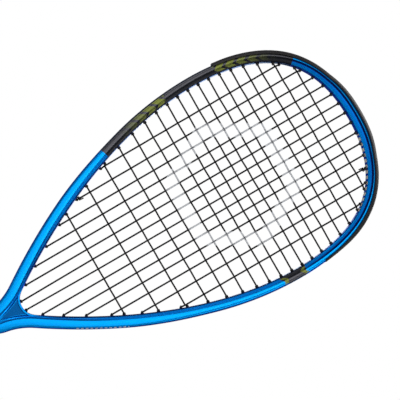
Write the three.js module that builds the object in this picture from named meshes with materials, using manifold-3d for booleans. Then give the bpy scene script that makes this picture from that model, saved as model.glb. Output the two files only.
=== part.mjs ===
// Squash racket, built upright: Z runs from the butt to the tip, the string bed lies in the XZ plane
// (y = 0) and Y is the depth of the frame. The origin is the centre of the butt cap's flat end.
// All sizes are millimetres.

import * as THREE from 'three';
import { mergeVertices } from 'three/addons/utils/BufferGeometryUtils.js';
import Module from 'manifold-3d';

const wasm = await Module();
wasm.setup();

// ---------------------------------------------------------------- driving dimensions

const GAP = 0.3; // clearance between neighbouring pieces

// Inner edge of the hoop, half outline as [x, z] control points of Bezier curves.
const TIP_Z = 672.8;
const WIDEST = [96.6, 561.4];
const ARM_FOOT = [13.0, 331.9]; // where the rounded crotch leaves the arms
const CROTCH_Z = 324.5;
const MERGE_Z = 291; // the two tubes touch from here down
const SHAFT_FOOT_Z = 4.6;
const HEAD_CURVE = [[0, TIP_Z], [69.8, TIP_Z], [WIDEST[0], 630.6], WIDEST];
const FLANK_CURVE = [WIDEST, [WIDEST[0], 474.2], [48.8, 384.2], ARM_FOOT];
const MERGE_CURVE = [ARM_FOOT, [4.6, 319.6], [0, 306], [0, MERGE_Z]];
const CROTCH_CURVE = [ARM_FOOT, [9.6, 326.9], [5.4, CROTCH_Z], [0, CROTCH_Z]];

// Tube width (in the string plane) and depth (along Y), as [z, size] from the shaft to the tip.
const TUBE_WIDTH = [
  [284, 9.0], [303, 12.0], [400, 11.8], [480, 10.1], [560, 9.3], [640, 9.0], [666, 8.7], [TIP_Z, 10.4],
];
const TUBE_DEPTH = [[284, 19.5], [330, 20.5], [420, 20.0], [560, 18.6], [TIP_Z, 17.6]];
const SHAFT_BLEND = [286, 322]; // the section turns from the shaft's D to the grooved tube between these
const BELOW_MERGE = 6; // the shaft's section stays the same from this far below the merge
const GROOVE = { halfWidth: 2.9, depth: 3.0, fade: [292, 306] };
const WALL = 1.35; // laminate thickness of the hollow tube
// Places of the styling crease and of the outer shoulder, as shares of the tube's width at each height.
const CREASE_PLACE = [[340, 0.23], [390, 0.29], [480, 0.33], [580, 0.39], [637, 0.48], [TIP_Z, 0.55]];
const SHOULDER_PLACE = [[400, 0.86], [500, 0.76], [TIP_Z, 0.74]];
const WEB = { depth: 10.5, inTube: 2.5 }; // recessed web between the arms
const LIP = { width: 2.2, depth: 16.0 }; // raised rim round the crotch

// Strings.
// Mains stand evenly in the middle of the bed and spread towards its sides. Crosses stand closest in the
// upper half of the bed, and open out by two fading terms, one from the throat and one from the tip.
const MAIN_SPACING = { pairs: 7, pitch: 10.4, spread: 6.6, power: 4.5 };
const MAIN_FAN = 0.0001; // mains spread towards the tip, per mm of height
const BED_MIDDLE_Z = 520.8;
const CROSS_SPACING = {
  first: 401.4, gaps: 17, least: 9.1, throat: 19.5, throatFade: 3.35, tip: 6, tipFade: 3,
};
const STRING_HALF = 0.53; // half the thickness of a string
const WEAVE = 0.75; // a string's middle stands this far off the bed's plane at a crossing
const LANE = 1.0; // mains and crosses run side by side in the groove, this far off its middle
const LOOP_RISE = 0.85; // height of a loop's middle above the grommet strip
const GROOVE_STEP = 9; // greatest length of a straight piece of string in the groove
const LOOSE_END = 4; // a loose end stops this far from the next hole
const SHARPEST_TURN = 0.6; // cosine that limits how far a string's corners reach out in a bend
const KNOT = { turns: 2.2, radius: 1.6, pitch: 1.45, start: 1.0, tail: 2.4, woundShare: 0.8, steps: 24 };

// Grommets.
const BARREL = { reach: 1.1, bend: 0.5, radius: 1.7, bore: 1.12, hole: 2.15, sides: 4 };
const HOLE_PITCH = 6.0; // least distance between neighbouring holes along the hoop
const STRIP = { halfWidth: 2.55, bottom: 2.7, top: 1.8 }; // heights are measured in from the outer face
const FLANGE_LENGTH = 6.0;
const BUMPER = { rise: 2.35, end: 585, full: 601, leftStep: 0.9, rightStep: 0.3 }; // steps: share of the rise
const SIDE_STRIP_Z = [397.4, 582];
const CROTCH_EXIT_Z = 318; // arm station whose groove takes the two middle mains

// Handle.
const PALLET = { x: 13.2, y: 12.0, chamfer: 4.4, bottom: 4.6, shoulder: 196, top: 210 };
const PALLET_TOP = { x: 10.6, y: 11.3, chamfer: 2.6 };
const SHAFT_CHANNEL = { x: 9.4, y: 10.1 };
const GRIP = { bottom: 24.6, top: 196, thickness: 1.8, pitch: 24.5, joint: 0.5, bevel: 0.7, shoulder: 0.6 };
const CAP = { floor: 4.2, top: 24.2 };
const CAP_GROWTH = [[0, 2.4], [1.8, 4.2], [8, 4.0], [16, 2.6], [CAP.top, 2.1]]; // over the pallets, by height
const TAPE = { bottom: 189, top: 198.5, thickness: 0.4 };
const COLLAR = { bottom: 187, bend: 200, top: 214, wall: 1.3 };
const STAPLE = { wire: 0.7, crown: 8, tip: 10.6, standOff: 0.45, heights: [12, 19] };
const PLUG = { inner: 1.9, outer: 6.9, y: 6.4, chamfer: 1.6, bottom: 12, top: 56 };
const PLUG_BEVEL = { width: 0.8, height: 1.5 };
const BEYOND = 30; // cutting boxes reach this far out, past everything on the handle
const PAST = 1; // cutting shapes run this far past the ends of what they cut

// ---------------------------------------------------------------- materials

function paint(color, roughness, metalness) {
  return new THREE.MeshStandardMaterial({ color, roughness, metalness });
}

const finish = {
  frame: () => paint(0x0a78dc, 0.28, 0.55),
  bumper: () => paint(0x1b1c1e, 0.5, 0),
  grommet: () => paint(0x101113, 0.45, 0),
  string: () => paint(0x2b2a2a, 0.35, 0),
  foam: () => paint(0xd8cfae, 0.85, 0),
  cap: () => paint(0x17181a, 0.55, 0),
  grip: () => paint(0x1d1f22, 0.8, 0),
  tape: () => paint(0x0f1012, 0.6, 0),
  collar: () => paint(0x1a1b1d, 0.7, 0),
  steel: () => paint(0xb9bcc0, 0.3, 1),
  silicone: () => paint(0x9aa3a8, 0.6, 0),
};

// ---------------------------------------------------------------- general helpers

const clamp01 = (t) => Math.min(1, Math.max(0, t));
const smooth = (t) => clamp01(t) ** 2 * (3 - 2 * clamp01(t));
const fadeIn = (value, [start, end]) => smooth((value - start) / (end - start));
const mix = (a, b, t) => a + (b - a) * t;

// Value at z of a size given as [z, size] knots, easing from each knot to the next.
function sizeAt(knots, z) {
  if (z <= knots[0][0]) return knots[0][1];
  const upper = knots.findIndex(([height]) => height >= z);
  if (upper < 0) return knots[knots.length - 1][1];
  const [[z0, a], [z1, b]] = [knots[upper - 1], knots[upper]];
  return mix(a, b, smooth((z - z0) / (z1 - z0)));
}

// Root of a function that changes sign between a and b.
function bisect(fn, a, b) {
  const rising = fn(b) > fn(a);
  for (let step = 0; step < 40; step++) {
    const middle = (a + b) / 2;
    if (fn(middle) > 0 === rising) b = middle;
    else a = middle;
  }
  return (a + b) / 2;
}

const bezier = (points) => new THREE.CubicBezierCurve(...points.map(([x, z]) => new THREE.Vector2(x, z)));

// Triangles that close a flat ring of points, numbered from the ring's first vertex.
function capFaces(ring) {
  const origin = ring[0];
  const normal = new THREE.Vector3();
  ring.forEach((p, k) => {
    const q = ring[(k + 1) % ring.length];
    normal.add(new THREE.Vector3().crossVectors(p.clone().sub(origin), q.clone().sub(origin)));
  });
  normal.normalize();
  const across = Math.abs(normal.y) > 0.9 ? new THREE.Vector3(1, 0, 0) : new THREE.Vector3(0, 1, 0);
  const u = new THREE.Vector3().crossVectors(across, normal).normalize();
  const v = new THREE.Vector3().crossVectors(normal, u);
  const flat = ring.map((p) => new THREE.Vector2(p.dot(u), p.dot(v)));
  return THREE.ShapeUtils.triangulateShape(flat, []);
}

function signedVolume(points, faces) {
  const sum = faces.reduce((total, [a, b, c]) => {
    const cross = new THREE.Vector3().crossVectors(points[b], points[c]);
    return total + points[a].dot(cross);
  }, 0);
  return sum / 6;
}

// Closed skin over a row of rings that all have the same number of points.
function loft(rings) {
  const count = rings[0].length;
  const points = rings.flat();
  const last = (rings.length - 1) * count;
  const faces = [];
  for (let row = 0; row < rings.length - 1; row++) {
    for (let k = 0; k < count; k++) {
      const a = row * count + k;
      const b = row * count + ((k + 1) % count);
      faces.push([a, b, b + count], [a, b + count, a + count]);
    }
  }
  capFaces(rings[0]).forEach(([a, b, c]) => faces.push([c, b, a]));
  capFaces(rings[rings.length - 1]).forEach(([a, b, c]) => faces.push([last + a, last + b, last + c]));
  const turned = signedVolume(points, faces) < 0 ? faces.map(([a, b, c]) => [a, c, b]) : faces;
  const geometry = new THREE.BufferGeometry().setFromPoints(points);
  geometry.setIndex(turned.flat());
  return geometry;
}

// Booleans: a closed geometry becomes a solid, and a solid becomes a geometry again.
function solid(geometry) {
  const bare = geometry.clone();
  bare.deleteAttribute('normal');
  bare.deleteAttribute('uv');
  const merged = mergeVertices(bare, 1e-5);
  const mesh = new wasm.Mesh({
    numProp: 3,
    vertProperties: new Float32Array(merged.attributes.position.array),
    triVerts: new Uint32Array(merged.index.array),
  });
  return new wasm.Manifold(mesh);
}

const joinAll = (shapes) => shapes.map(solid).reduce((whole, piece) => whole.add(piece));
const cutAll = (whole, shapes) => shapes.map(solid).reduce((rest, tool) => rest.subtract(tool), whole);

function geometryOf(manifold) {
  const mesh = manifold.getMesh();
  const geometry = new THREE.BufferGeometry();
  geometry.setAttribute('position', new THREE.BufferAttribute(new Float32Array(mesh.vertProperties), 3));
  geometry.setIndex(new THREE.BufferAttribute(new Uint32Array(mesh.triVerts), 1));
  return geometry;
}

// Straight prism with a barrel's number of sides between two points of the string plane, at depth y.
function prism(from, to, radius, y) {
  const along = to.clone().sub(from).normalize();
  const ring = (centre) => Array.from({ length: BARREL.sides }, (_, k) => {
    const angle = (2 * Math.PI * (k + 0.5)) / BARREL.sides;
    const side = radius * Math.cos(angle);
    const up = radius * Math.sin(angle);
    return new THREE.Vector3(centre.x - along.y * side, y + up, centre.y + along.x * side);
  });
  return loft([ring(from), ring(to)]);
}

function box(low, high) {
  const size = high.map((value, k) => value - low[k]);
  const geometry = new THREE.BoxGeometry(...size);
  return geometry.translate(...high.map((value, k) => (value + low[k]) / 2));
}

// ---------------------------------------------------------------- the line of the frame

// One side of the frame from the tip down to the butt, along the tube's inner edge.
const rim = new THREE.CurvePath();
[HEAD_CURVE, FLANK_CURVE, MERGE_CURVE].forEach((points) => rim.add(bezier(points)));
rim.add(new THREE.LineCurve(new THREE.Vector2(0, MERGE_Z), new THREE.Vector2(0, SHAFT_FOOT_Z)));
const lengths = rim.getCurveLengths();
const [TO_WIDEST, TO_ARM_FOOT, TO_MERGE, RIM_LENGTH] = lengths;

// Station on one side (+1 right, -1 left), a distance s from the tip: the inner edge and outward normal.
function station(s, side) {
  const t = Math.min(s / RIM_LENGTH, 1);
  const point = rim.getPoint(t);
  const step = 0.02 / RIM_LENGTH;
  const ahead = rim.getPoint(Math.min(t + step, 1));
  const behind = rim.getPoint(Math.max(t - step, 0));
  const tangent = ahead.sub(behind).normalize();
  if (s <= 0) tangent.set(1, 0);
  return {
    inner: new THREE.Vector2(side * point.x, point.y),
    normal: new THREE.Vector2(-side * tangent.y, tangent.x),
    width: sizeAt(TUBE_WIDTH, point.y),
    depth: sizeAt(TUBE_DEPTH, point.y),
    z: point.y,
  };
}

const outwards = (place, distance) => place.inner.clone().addScaledVector(place.normal, distance);

// Ring of 3-D points from [outward, y] pairs at a station.
function ringAt(place, pairs) {
  return pairs.map(([out, y]) => {
    const flat = outwards(place, out);
    return new THREE.Vector3(flat.x, y, flat.y);
  });
}

// A section given for y > 0, completed by its mirror image.
const mirrored = (half) => [...half, ...half.map(([out, y]) => [out, -y]).reverse()];

const spaced = (from, to, count) => Array.from({ length: count + 1 }, (_, k) => mix(from, to, k / count));

// Stations close together where the frame bends or its section changes.
const FRAME_STATIONS = [...new Set([
  ...spaced(0, TO_WIDEST, 15),
  ...spaced(TO_WIDEST, TO_ARM_FOOT, 12),
  ...spaced(TO_ARM_FOOT, TO_MERGE, 5),
  TO_MERGE + BELOW_MERGE,
  RIM_LENGTH,
])];

const stationAtHeight = (z, low = 0, high = RIM_LENGTH) => bisect((s) => station(s, 1).z - z, low, high);

// ---------------------------------------------------------------- frame

function tubeSection(place) {
  const { width: w, z } = place;
  const half = place.depth / 2;
  const grooved = fadeIn(z, SHAFT_BLEND);
  const grooveDepth = GROOVE.depth * fadeIn(z, GROOVE.fade);
  const crease = sizeAt(CREASE_PLACE, z) * w;
  const shoulder = sizeAt(SHOULDER_PLACE, z) * w;
  return mirrored([
    [0, half * mix(1, 0.62, grooved)],
    [0.07 * w, half * mix(1, 0.8, grooved)],
    [crease, half * mix(1, 0.95, grooved)],
    [mix(crease, shoulder, 0.4), half],
    [shoulder, half * mix(0.92, 0.965, grooved)],
    [mix(shoulder, w, 0.8), half * 0.72],
    [w, GROOVE.halfWidth + 0.3],
    [w - grooveDepth, GROOVE.halfWidth],
  ]);
}

function boreSection(place) {
  const { width: w, z } = place;
  const half = place.depth / 2;
  const grooved = fadeIn(z, SHAFT_BLEND);
  const grooveDepth = GROOVE.depth * fadeIn(z, GROOVE.fade);
  return mirrored([
    [WALL, half * mix(0.8, 0.55, grooved)],
    [0.33 * w, half - WALL - 0.3],
    [0.64 * w, half - WALL - 0.3],
    [w - WALL - 0.3, half * 0.6],
    [w - grooveDepth - WALL, GROOVE.halfWidth + 0.4],
  ]);
}

// Flat plate between the arms: its top edge follows the crotch, its sides end inside the tubes.
function crotchPlate(thickness, bottomEdge) {
  const crotch = bezier(CROTCH_CURVE).getPoints(7);
  const rightHalf = [...bottomEdge, ...crotch.slice(0, -1)];
  const outline = [...rightHalf, crotch[7], ...rightHalf.map((p) => new THREE.Vector2(-p.x, p.y)).reverse()];
  return loft([-thickness / 2, thickness / 2].map((y) => outline.map((p) => new THREE.Vector3(p.x, y, p.y))));
}

function web() {
  const foot = spaced(TO_MERGE, TO_ARM_FOOT, 4).map((s) => outwards(station(s, 1), WEB.inTube));
  return crotchPlate(WEB.depth, foot);
}

function lip() {
  const crotch = bezier(CROTCH_CURVE);
  const below = spaced(0.9, 0, 3).map((t) => {
    const tangent = crotch.getTangent(t);
    return crotch.getPoint(t).add(new THREE.Vector2(-tangent.y, tangent.x).multiplyScalar(LIP.width));
  });
  return crotchPlate(LIP.depth, below);
}

function frameSolid(holes) {
  const sides = [1, -1];
  const tubes = sides.map((side) => loft(FRAME_STATIONS.map((s) => {
    const place = station(s, side);
    return ringAt(place, tubeSection(place));
  })));
  const bores = sides.map((side) => loft(FRAME_STATIONS.map((s) => {
    const place = station(s, side);
    const ring = ringAt(place, boreSection(place));
    if (s === RIM_LENGTH) ring.forEach((p) => { p.z -= PAST; });
    return ring;
  })));
  const outside = joinAll([...tubes, web(), lip()]);
  return cutAll(outside.subtract(joinAll(bores)), holes);
}

// ---------------------------------------------------------------- string ends and their holes

const mainX = (x, z) => x * (1 + MAIN_FAN * (z - BED_MIDDLE_Z));
const MAIN_X = Array.from({ length: MAIN_SPACING.pairs }, (_, k) => {
  const { pairs, pitch, spread, power } = MAIN_SPACING;
  return pitch * (k + 0.5) + spread * (k / (pairs - 1)) ** power;
});
const crossGap = (k) => {
  const { gaps, least, throat, throatFade, tip, tipFade } = CROSS_SPACING;
  return least + throat * Math.exp(-k / throatFade) + tip * Math.exp((k - gaps + 1) / tipFade);
};
const CROSSES = [CROSS_SPACING.first];
for (let k = 0; k < CROSS_SPACING.gaps; k++) CROSSES.push(CROSSES[k] + crossGap(k));
const MAINS = [...MAIN_X.map((x) => -x).reverse(), ...MAIN_X];
const LAST_MAIN = MAINS.length - 1;
const LAST_CROSS = CROSSES.length - 1;
const mainSide = (m) => (m > LAST_MAIN / 2 ? 1 : -1);
const mainRank = (m) => Math.abs(m - LAST_MAIN / 2) - 0.5; // counted from the middle of the bed

// A string turns into its barrel at a point just clear of the barrel's mouth.
const bendAt = (s) => outwards(station(s, 1), -BARREL.reach - BARREL.bend);
const mainExit = (x, from, to) => bisect((s) => {
  const bend = bendAt(s);
  return bend.x - mainX(x, bend.y);
}, from, to);

// The string ends of one side, sorted by their distance s from the tip.
function sideEnds() {
  const ends = [];
  MAIN_X.forEach((x, k) => {
    ends.push({ kind: 'main', end: 'top', k, s: mainExit(x, 0.5, TO_WIDEST) });
    if (k > 0) ends.push({ kind: 'main', end: 'bottom', k, s: mainExit(x, TO_WIDEST, TO_ARM_FOOT) });
  });
  CROSSES.forEach((z, k) => {
    ends.push({ kind: 'cross', k, s: bisect((s) => bendAt(s).y - z, 0, TO_ARM_FOOT) });
  });
  return ends.sort((a, b) => a.s - b.s);
}

// Neighbouring holes that would run into one another move apart along the hoop.
function spread(ends) {
  for (let pass = 0; pass < 40; pass++) {
    for (let k = 1; k < ends.length; k++) {
      const lack = HOLE_PITCH - (ends[k].s - ends[k - 1].s);
      if (lack > 0) {
        ends[k - 1].s -= lack / 2;
        ends[k].s += lack / 2;
      }
    }
  }
  return ends;
}

const ENDS = spread(sideEnds());

// On the left the mains use the rear lane of the groove and the crosses the front one; on the right
// they swap, so that each string reaches its lane from the side on which it made its last crossing.
const laneOf = (kind, side) => (kind === 'main' ? -side : side) * LANE;

function grommetHole({ kind, s }, side) {
  const place = station(s, side);
  return {
    s,
    side,
    y: laneOf(kind, side),
    bend: outwards(place, -BARREL.reach - BARREL.bend),
    mouth: outwards(place, -BARREL.reach),
    foot: outwards(place, place.width - STRIP.bottom),
    axis: place.normal,
  };
}

// The two middle mains leave through the crotch and slant out to the arm's groove.
function crotchHole(side) {
  const s = stationAtHeight(CROTCH_EXIT_Z, TO_ARM_FOOT, TO_MERGE);
  const place = station(s, side);
  const foot = outwards(place, place.width - STRIP.bottom);
  const curve = bezier(CROTCH_CURVE);
  const t = bisect((u) => curve.getPoint(u).x - mainX(MAIN_X[0], CROTCH_Z), 0, 1);
  const wall = curve.getPoint(t);
  wall.x *= side;
  const axis = foot.clone().sub(wall).normalize();
  const inwards = (reach) => wall.clone().addScaledVector(axis, -reach);
  return {
    s,
    side,
    y: laneOf('main', side),
    bend: inwards(BARREL.reach + BARREL.bend),
    mouth: inwards(BARREL.reach),
    foot,
    axis,
  };
}

const holes = [];
const holeFor = {};
for (const side of [-1, 1]) {
  ENDS.forEach((end) => {
    const hole = grommetHole(end, side);
    holes.push(hole);
    holeFor[`${end.kind}${end.end ?? ''}${end.k}${side}`] = hole;
  });
  const middle = crotchHole(side);
  holes.push(middle);
  holeFor[`mainbottom0${side}`] = middle;
}

// Prism along a hole's axis that starts before its mouth and ends past its foot.
function alongHole(hole, before, past, radius) {
  const from = hole.mouth.clone().addScaledVector(hole.axis, -before);
  const to = hole.foot.clone().addScaledVector(hole.axis, past);
  return prism(from, to, radius, hole.y);
}

const frameHole = (hole) => alongHole(hole, 1, 2, BARREL.hole);
const barrel = (hole) => alongHole(hole, 0, 0.5, BARREL.radius);
const barrelBore = (hole) => alongHole(hole, 2, 3, BARREL.bore);

// ---------------------------------------------------------------- grommets

function stripSection(place) {
  const low = place.width - STRIP.bottom;
  const high = place.width - STRIP.top;
  return mirrored([[low, STRIP.halfWidth], [high, STRIP.halfWidth]]);
}

// A length of grommet strip between two distances from the tip, with its barrels.
function grommetStrip(from, to, steps, side, strings) {
  const base = loft(spaced(from, to, steps).map((s) => {
    const place = station(s, side);
    return ringAt(place, stripSection(place));
  }));
  return cutAll(joinAll([base, ...strings.map(barrel)]), strings.map(barrelBore));
}

// The bumper stands on the outside of the tube, straddles the groove and lines it. A signed distance
// from the tip covers both sides: negative is the left.
function bumperSection(place, distance) {
  const { width: w, depth } = place;
  const full = fadeIn(place.z, [BUMPER.end - 1, BUMPER.full]);
  const rise = BUMPER.rise * mix(distance < 0 ? BUMPER.leftStep : BUMPER.rightStep, 1, full);
  return mirrored([
    [w - STRIP.top, 1.9],
    [w + rise, 2.2],
    [w + rise * 0.75, 5.6],
    [w - 0.7, depth / 2],
    [w - 1.5, depth / 2],
    [w + 0.3, 5.6],
    [w + 0.4, STRIP.halfWidth],
    [w - STRIP.bottom, STRIP.halfWidth],
  ]);
}

function bumperGuard() {
  const end = stationAtHeight(BUMPER.end, 0, TO_WIDEST);
  const right = [...FRAME_STATIONS.filter((s) => s < end - PAST), end];
  const left = right.slice(1).map((s) => -s).reverse();
  const base = loft([...left, ...right].map((distance) => {
    const place = station(Math.abs(distance), distance < 0 ? -1 : 1);
    return ringAt(place, bumperSection(place, distance));
  }));
  const strings = holes.filter((hole) => hole.s < end);
  return cutAll(joinAll([base, ...strings.map(barrel)]), strings.map(barrelBore));
}

function sideStrip(side) {
  const [to, from] = SIDE_STRIP_Z.map((z) => stationAtHeight(z, 0, TO_ARM_FOOT));
  const strings = holes.filter((hole) => hole.side === side && hole.s > from && hole.s < to);
  return grommetStrip(from, to, 22, side, strings);
}

// Holes below the side strips are lined one by one.
function throatHoles(side) {
  const from = stationAtHeight(SIDE_STRIP_Z[0], 0, TO_ARM_FOOT);
  return holes.filter((hole) => hole.side === side && hole.s > from).sort((a, b) => b.s - a.s);
}

const throatGrommet = (hole) => grommetStrip(
  hole.s - FLANGE_LENGTH / 2, hole.s + FLANGE_LENGTH / 2, 1, hole.side, [hole],
);

// ---------------------------------------------------------------- strings

const bedPoint = (flat, y) => new THREE.Vector3(flat.x, y, flat.y);

function mainEnds(m) {
  const end = `${mainRank(m)}${mainSide(m)}`;
  return { top: holeFor[`maintop${end}`], bottom: holeFor[`mainbottom${end}`] };
}

const crossEnds = (c) => ({ left: holeFor[`cross${c}-1`], right: holeFor[`cross${c}1`] });

// Where a string of the bed crosses the others, if the crossing lies inside the hoop.
function crossings(kind, index) {
  const list = [];
  const others = kind === 'main' ? CROSSES : MAINS;
  others.forEach((_, other) => {
    const [m, c] = kind === 'main' ? [index, other] : [other, index];
    const z = CROSSES[c];
    const x = mainX(MAINS[m], z);
    const { top, bottom } = mainEnds(m);
    const inHeight = z < top.bend.y && z > bottom.bend.y;
    const inWidth = Math.abs(x) < Math.abs(holeFor[`cross${c}${mainSide(m)}`].bend.x);
    if (!inHeight || !inWidth) return;
    const lift = WEAVE * ((m + c) % 2 === 0 ? 1 : -1);
    list.push(new THREE.Vector3(x, kind === 'main' ? lift : -lift, z));
  });
  return list;
}

// The run of a string from the bed into the groove: barrel mouth, then up to the loop's height.
function throughBarrel(hole) {
  const { normal } = station(hole.s, hole.side);
  const rise = STRIP.bottom - STRIP.top + LOOP_RISE;
  const outer = hole.foot.clone().addScaledVector(hole.axis, rise / hole.axis.dot(normal));
  return [bedPoint(hole.bend, hole.y), bedPoint(outer, hole.y)];
}

// Middle of a string in the groove, a signed distance from the tip (negative on the left).
function inGroove(distance, y) {
  const place = station(Math.abs(distance), distance < 0 ? -1 : 1);
  return bedPoint(outwards(place, place.width - STRIP.top + LOOP_RISE), y);
}

// Points along the groove between two such distances, without the ends.
function groovePoints(from, to, yFrom, yTo) {
  const steps = Math.max(2, Math.ceil(Math.abs(to - from) / GROOVE_STEP));
  const inside = spaced(from, to, steps).slice(1, -1);
  return inside.map((distance, k) => inGroove(distance, mix(yFrom, yTo, (k + 1) / steps)));
}

const alongTip = (hole) => hole.side * hole.s;
const loop = (a, b) => groovePoints(alongTip(a), alongTip(b), a.y, b.y);

// A loose end that runs on in the groove past its last hole and stops short of the next one.
function looseEnd(hole, next) {
  const [from, to] = [alongTip(hole), alongTip(next)];
  const stop = to - Math.sign(to - from) * LOOSE_END;
  return [...groovePoints(from, stop, hole.y, hole.y), inGroove(stop, hole.y)];
}

// Square-section string along a line of points; its flats face along and across the bed's plane.
function stringSolid(points) {
  const rings = points.map((point, k) => {
    const before = points[Math.max(k - 1, 0)];
    const after = points[Math.min(k + 1, points.length - 1)];
    const arriving = new THREE.Vector2(point.x - before.x, point.z - before.z).normalize();
    const leaving = new THREE.Vector2(after.x - point.x, after.z - point.z).normalize();
    const middle = arriving.clone().add(leaving).normalize();
    const reach = STRING_HALF / Math.max(middle.dot(k ? arriving : leaving), SHARPEST_TURN);
    const across = new THREE.Vector3(-middle.y, 0, middle.x).multiplyScalar(reach);
    const up = new THREE.Vector3(0, STRING_HALF, 0);
    const edge = (side) => point.clone().addScaledVector(across, side);
    return [edge(1).add(up), edge(-1).add(up), edge(-1).sub(up), edge(1).sub(up)];
  });
  return loft(rings);
}

function mainString() {
  const points = [];
  MAINS.forEach((_, m) => {
    const { top, bottom } = mainEnds(m);
    const column = [...throughBarrel(bottom).reverse(), ...crossings('main', m), ...throughBarrel(top)];
    const upward = m % 2 === 0;
    points.push(...(upward ? column : column.reverse()));
    if (m === LAST_MAIN) return;
    const next = mainEnds(m + 1);
    points.push(...(upward ? loop(top, next.top) : loop(bottom, next.bottom)));
  });
  const first = looseEnd(mainEnds(0).bottom, mainEnds(1).bottom);
  const last = looseEnd(mainEnds(LAST_MAIN).bottom, mainEnds(LAST_MAIN - 1).bottom);
  return stringSolid([...first.reverse(), ...points, ...last]);
}

function crossString() {
  const points = [];
  CROSSES.forEach((_, c) => {
    const { left, right } = crossEnds(c);
    const row = [...throughBarrel(left).reverse(), ...crossings('cross', c), ...throughBarrel(right)];
    const leftward = c % 2 === 0;
    points.push(...(leftward ? row.reverse() : row));
    if (c === LAST_CROSS) return;
    const next = crossEnds(c + 1);
    points.push(...(leftward ? loop(left, next.left) : loop(right, next.right)));
  });
  const first = looseEnd(crossEnds(0).right, crossEnds(1).right);
  const last = looseEnd(crossEnds(LAST_CROSS).right, holeFor.maintop41);
  return stringSolid([...first.reverse(), ...points, ...last]);
}

// Tie-off knot: two turns round a main just inside its grommet, with a cut tail.
class KnotLine extends THREE.Curve {
  constructor(centre, axis) {
    super();
    Object.assign(this, { centre, axis });
  }
  getPoint(t, target = new THREE.Vector3()) {
    const wound = Math.min(t / KNOT.woundShare, 1);
    const tail = Math.max(t - KNOT.woundShare, 0) / (1 - KNOT.woundShare);
    const angle = 2 * Math.PI * KNOT.turns * wound;
    const radius = KNOT.radius + KNOT.tail * tail;
    target.copy(this.centre).addScaledVector(this.axis, KNOT.pitch * KNOT.turns * wound + KNOT.tail * tail);
    target.x += radius * Math.cos(angle);
    target.y += radius * Math.sin(angle);
    return target;
  }
}

// The knot on a main that starts at a hole and runs to its first crossing.
function knot(hole, main) {
  const bend = bedPoint(hole.bend, hole.y);
  const nearest = crossings('main', main).sort((a, b) => a.distanceTo(bend) - b.distanceTo(bend))[0];
  const axis = nearest.sub(bend).normalize();
  const line = new KnotLine(bend.addScaledVector(axis, KNOT.start), axis);
  const section = new THREE.Shape();
  section.absarc(0, 0, STRING_HALF, 0, 2 * Math.PI);
  return new THREE.ExtrudeGeometry(section, {
    steps: KNOT.steps, curveSegments: 2, extrudePath: line, bevelEnabled: false,
  });
}

// ---------------------------------------------------------------- handle

// Octagon with half sizes x and y and cut corners, at height z.
function octagon({ x, y, chamfer }, z) {
  const corner = [[x, y - chamfer], [x - chamfer, y]];
  const quarterTurns = [[1, 1, false], [-1, 1, true], [-1, -1, false], [1, -1, true]];
  return quarterTurns.flatMap(([sx, sy, back]) => {
    const pair = back ? [...corner].reverse() : corner;
    return pair.map(([px, py]) => new THREE.Vector3(sx * px, sy * py, z));
  });
}

// The same octagon with every side moved outwards.
const grown = ({ x, y, chamfer }, by) => ({ x: x + by, y: y + by, chamfer: chamfer + by * (2 - Math.SQRT2) });
const octagonTube = (outer, inner) => solid(loft(outer)).subtract(solid(loft(inner)));

const capOutline = (z) => grown(PALLET, sizeAt(CAP_GROWTH, z));

// Boxes for the staples' legs, cut through the cap's wall and into the pallets.
function stapleSlots() {
  const half = STAPLE.wire / 2 + GAP;
  return [-1, 1].flatMap((side) => STAPLE.heights.flatMap((z) => [-1, 1].map((leg) => {
    const y = leg * (STAPLE.crown - STAPLE.wire) / 2;
    const [inner, outer] = [STAPLE.tip - GAP, BEYOND].map((x) => side * x);
    return box([Math.min(inner, outer), y - half, z - half], [Math.max(inner, outer), y + half, z + half]);
  })));
}

function buttCap() {
  const outside = loft(CAP_GROWTH.map(([z]) => octagon(capOutline(z), z)));
  const cavity = loft([CAP.floor, CAP.top + PAST].map((z) => octagon(grown(PALLET, GAP), z)));
  return cutAll(solid(outside), [cavity, ...stapleSlots()]);
}

function pallet(side) {
  const outside = loft([
    octagon(PALLET, PALLET.bottom), octagon(PALLET, PALLET.shoulder), octagon(PALLET_TOP, PALLET.top),
  ]);
  const top = PALLET.top + PAST;
  const { x, y } = SHAFT_CHANNEL;
  const channel = box([-x, -y, 0], [x, y, top]);
  const [left, right] = side > 0 ? [-BEYOND, GAP / 2] : [-GAP / 2, BEYOND];
  const otherHalf = box([left, -BEYOND, 0], [right, BEYOND, top]);
  return cutAll(solid(outside), [channel, otherHalf, ...stapleSlots()]);
}

// U-shaped staple: the crown lies on the cap, the legs go through it into the pallet.
function staple(side, z) {
  const crownIn = capOutline(z + STAPLE.wire).x + STAPLE.standOff;
  const crownOut = crownIn + STAPLE.wire;
  const half = STAPLE.crown / 2;
  const outline = [
    [STAPLE.tip, -half], [crownOut, -half], [crownOut, half], [STAPLE.tip, half],
    [STAPLE.tip, half - STAPLE.wire], [crownIn, half - STAPLE.wire],
    [crownIn, STAPLE.wire - half], [STAPLE.tip, STAPLE.wire - half],
  ];
  const heights = [z - STAPLE.wire / 2, z + STAPLE.wire / 2];
  return loft(heights.map((height) => outline.map(([x, y]) => new THREE.Vector3(side * x, y, height))));
}

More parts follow.
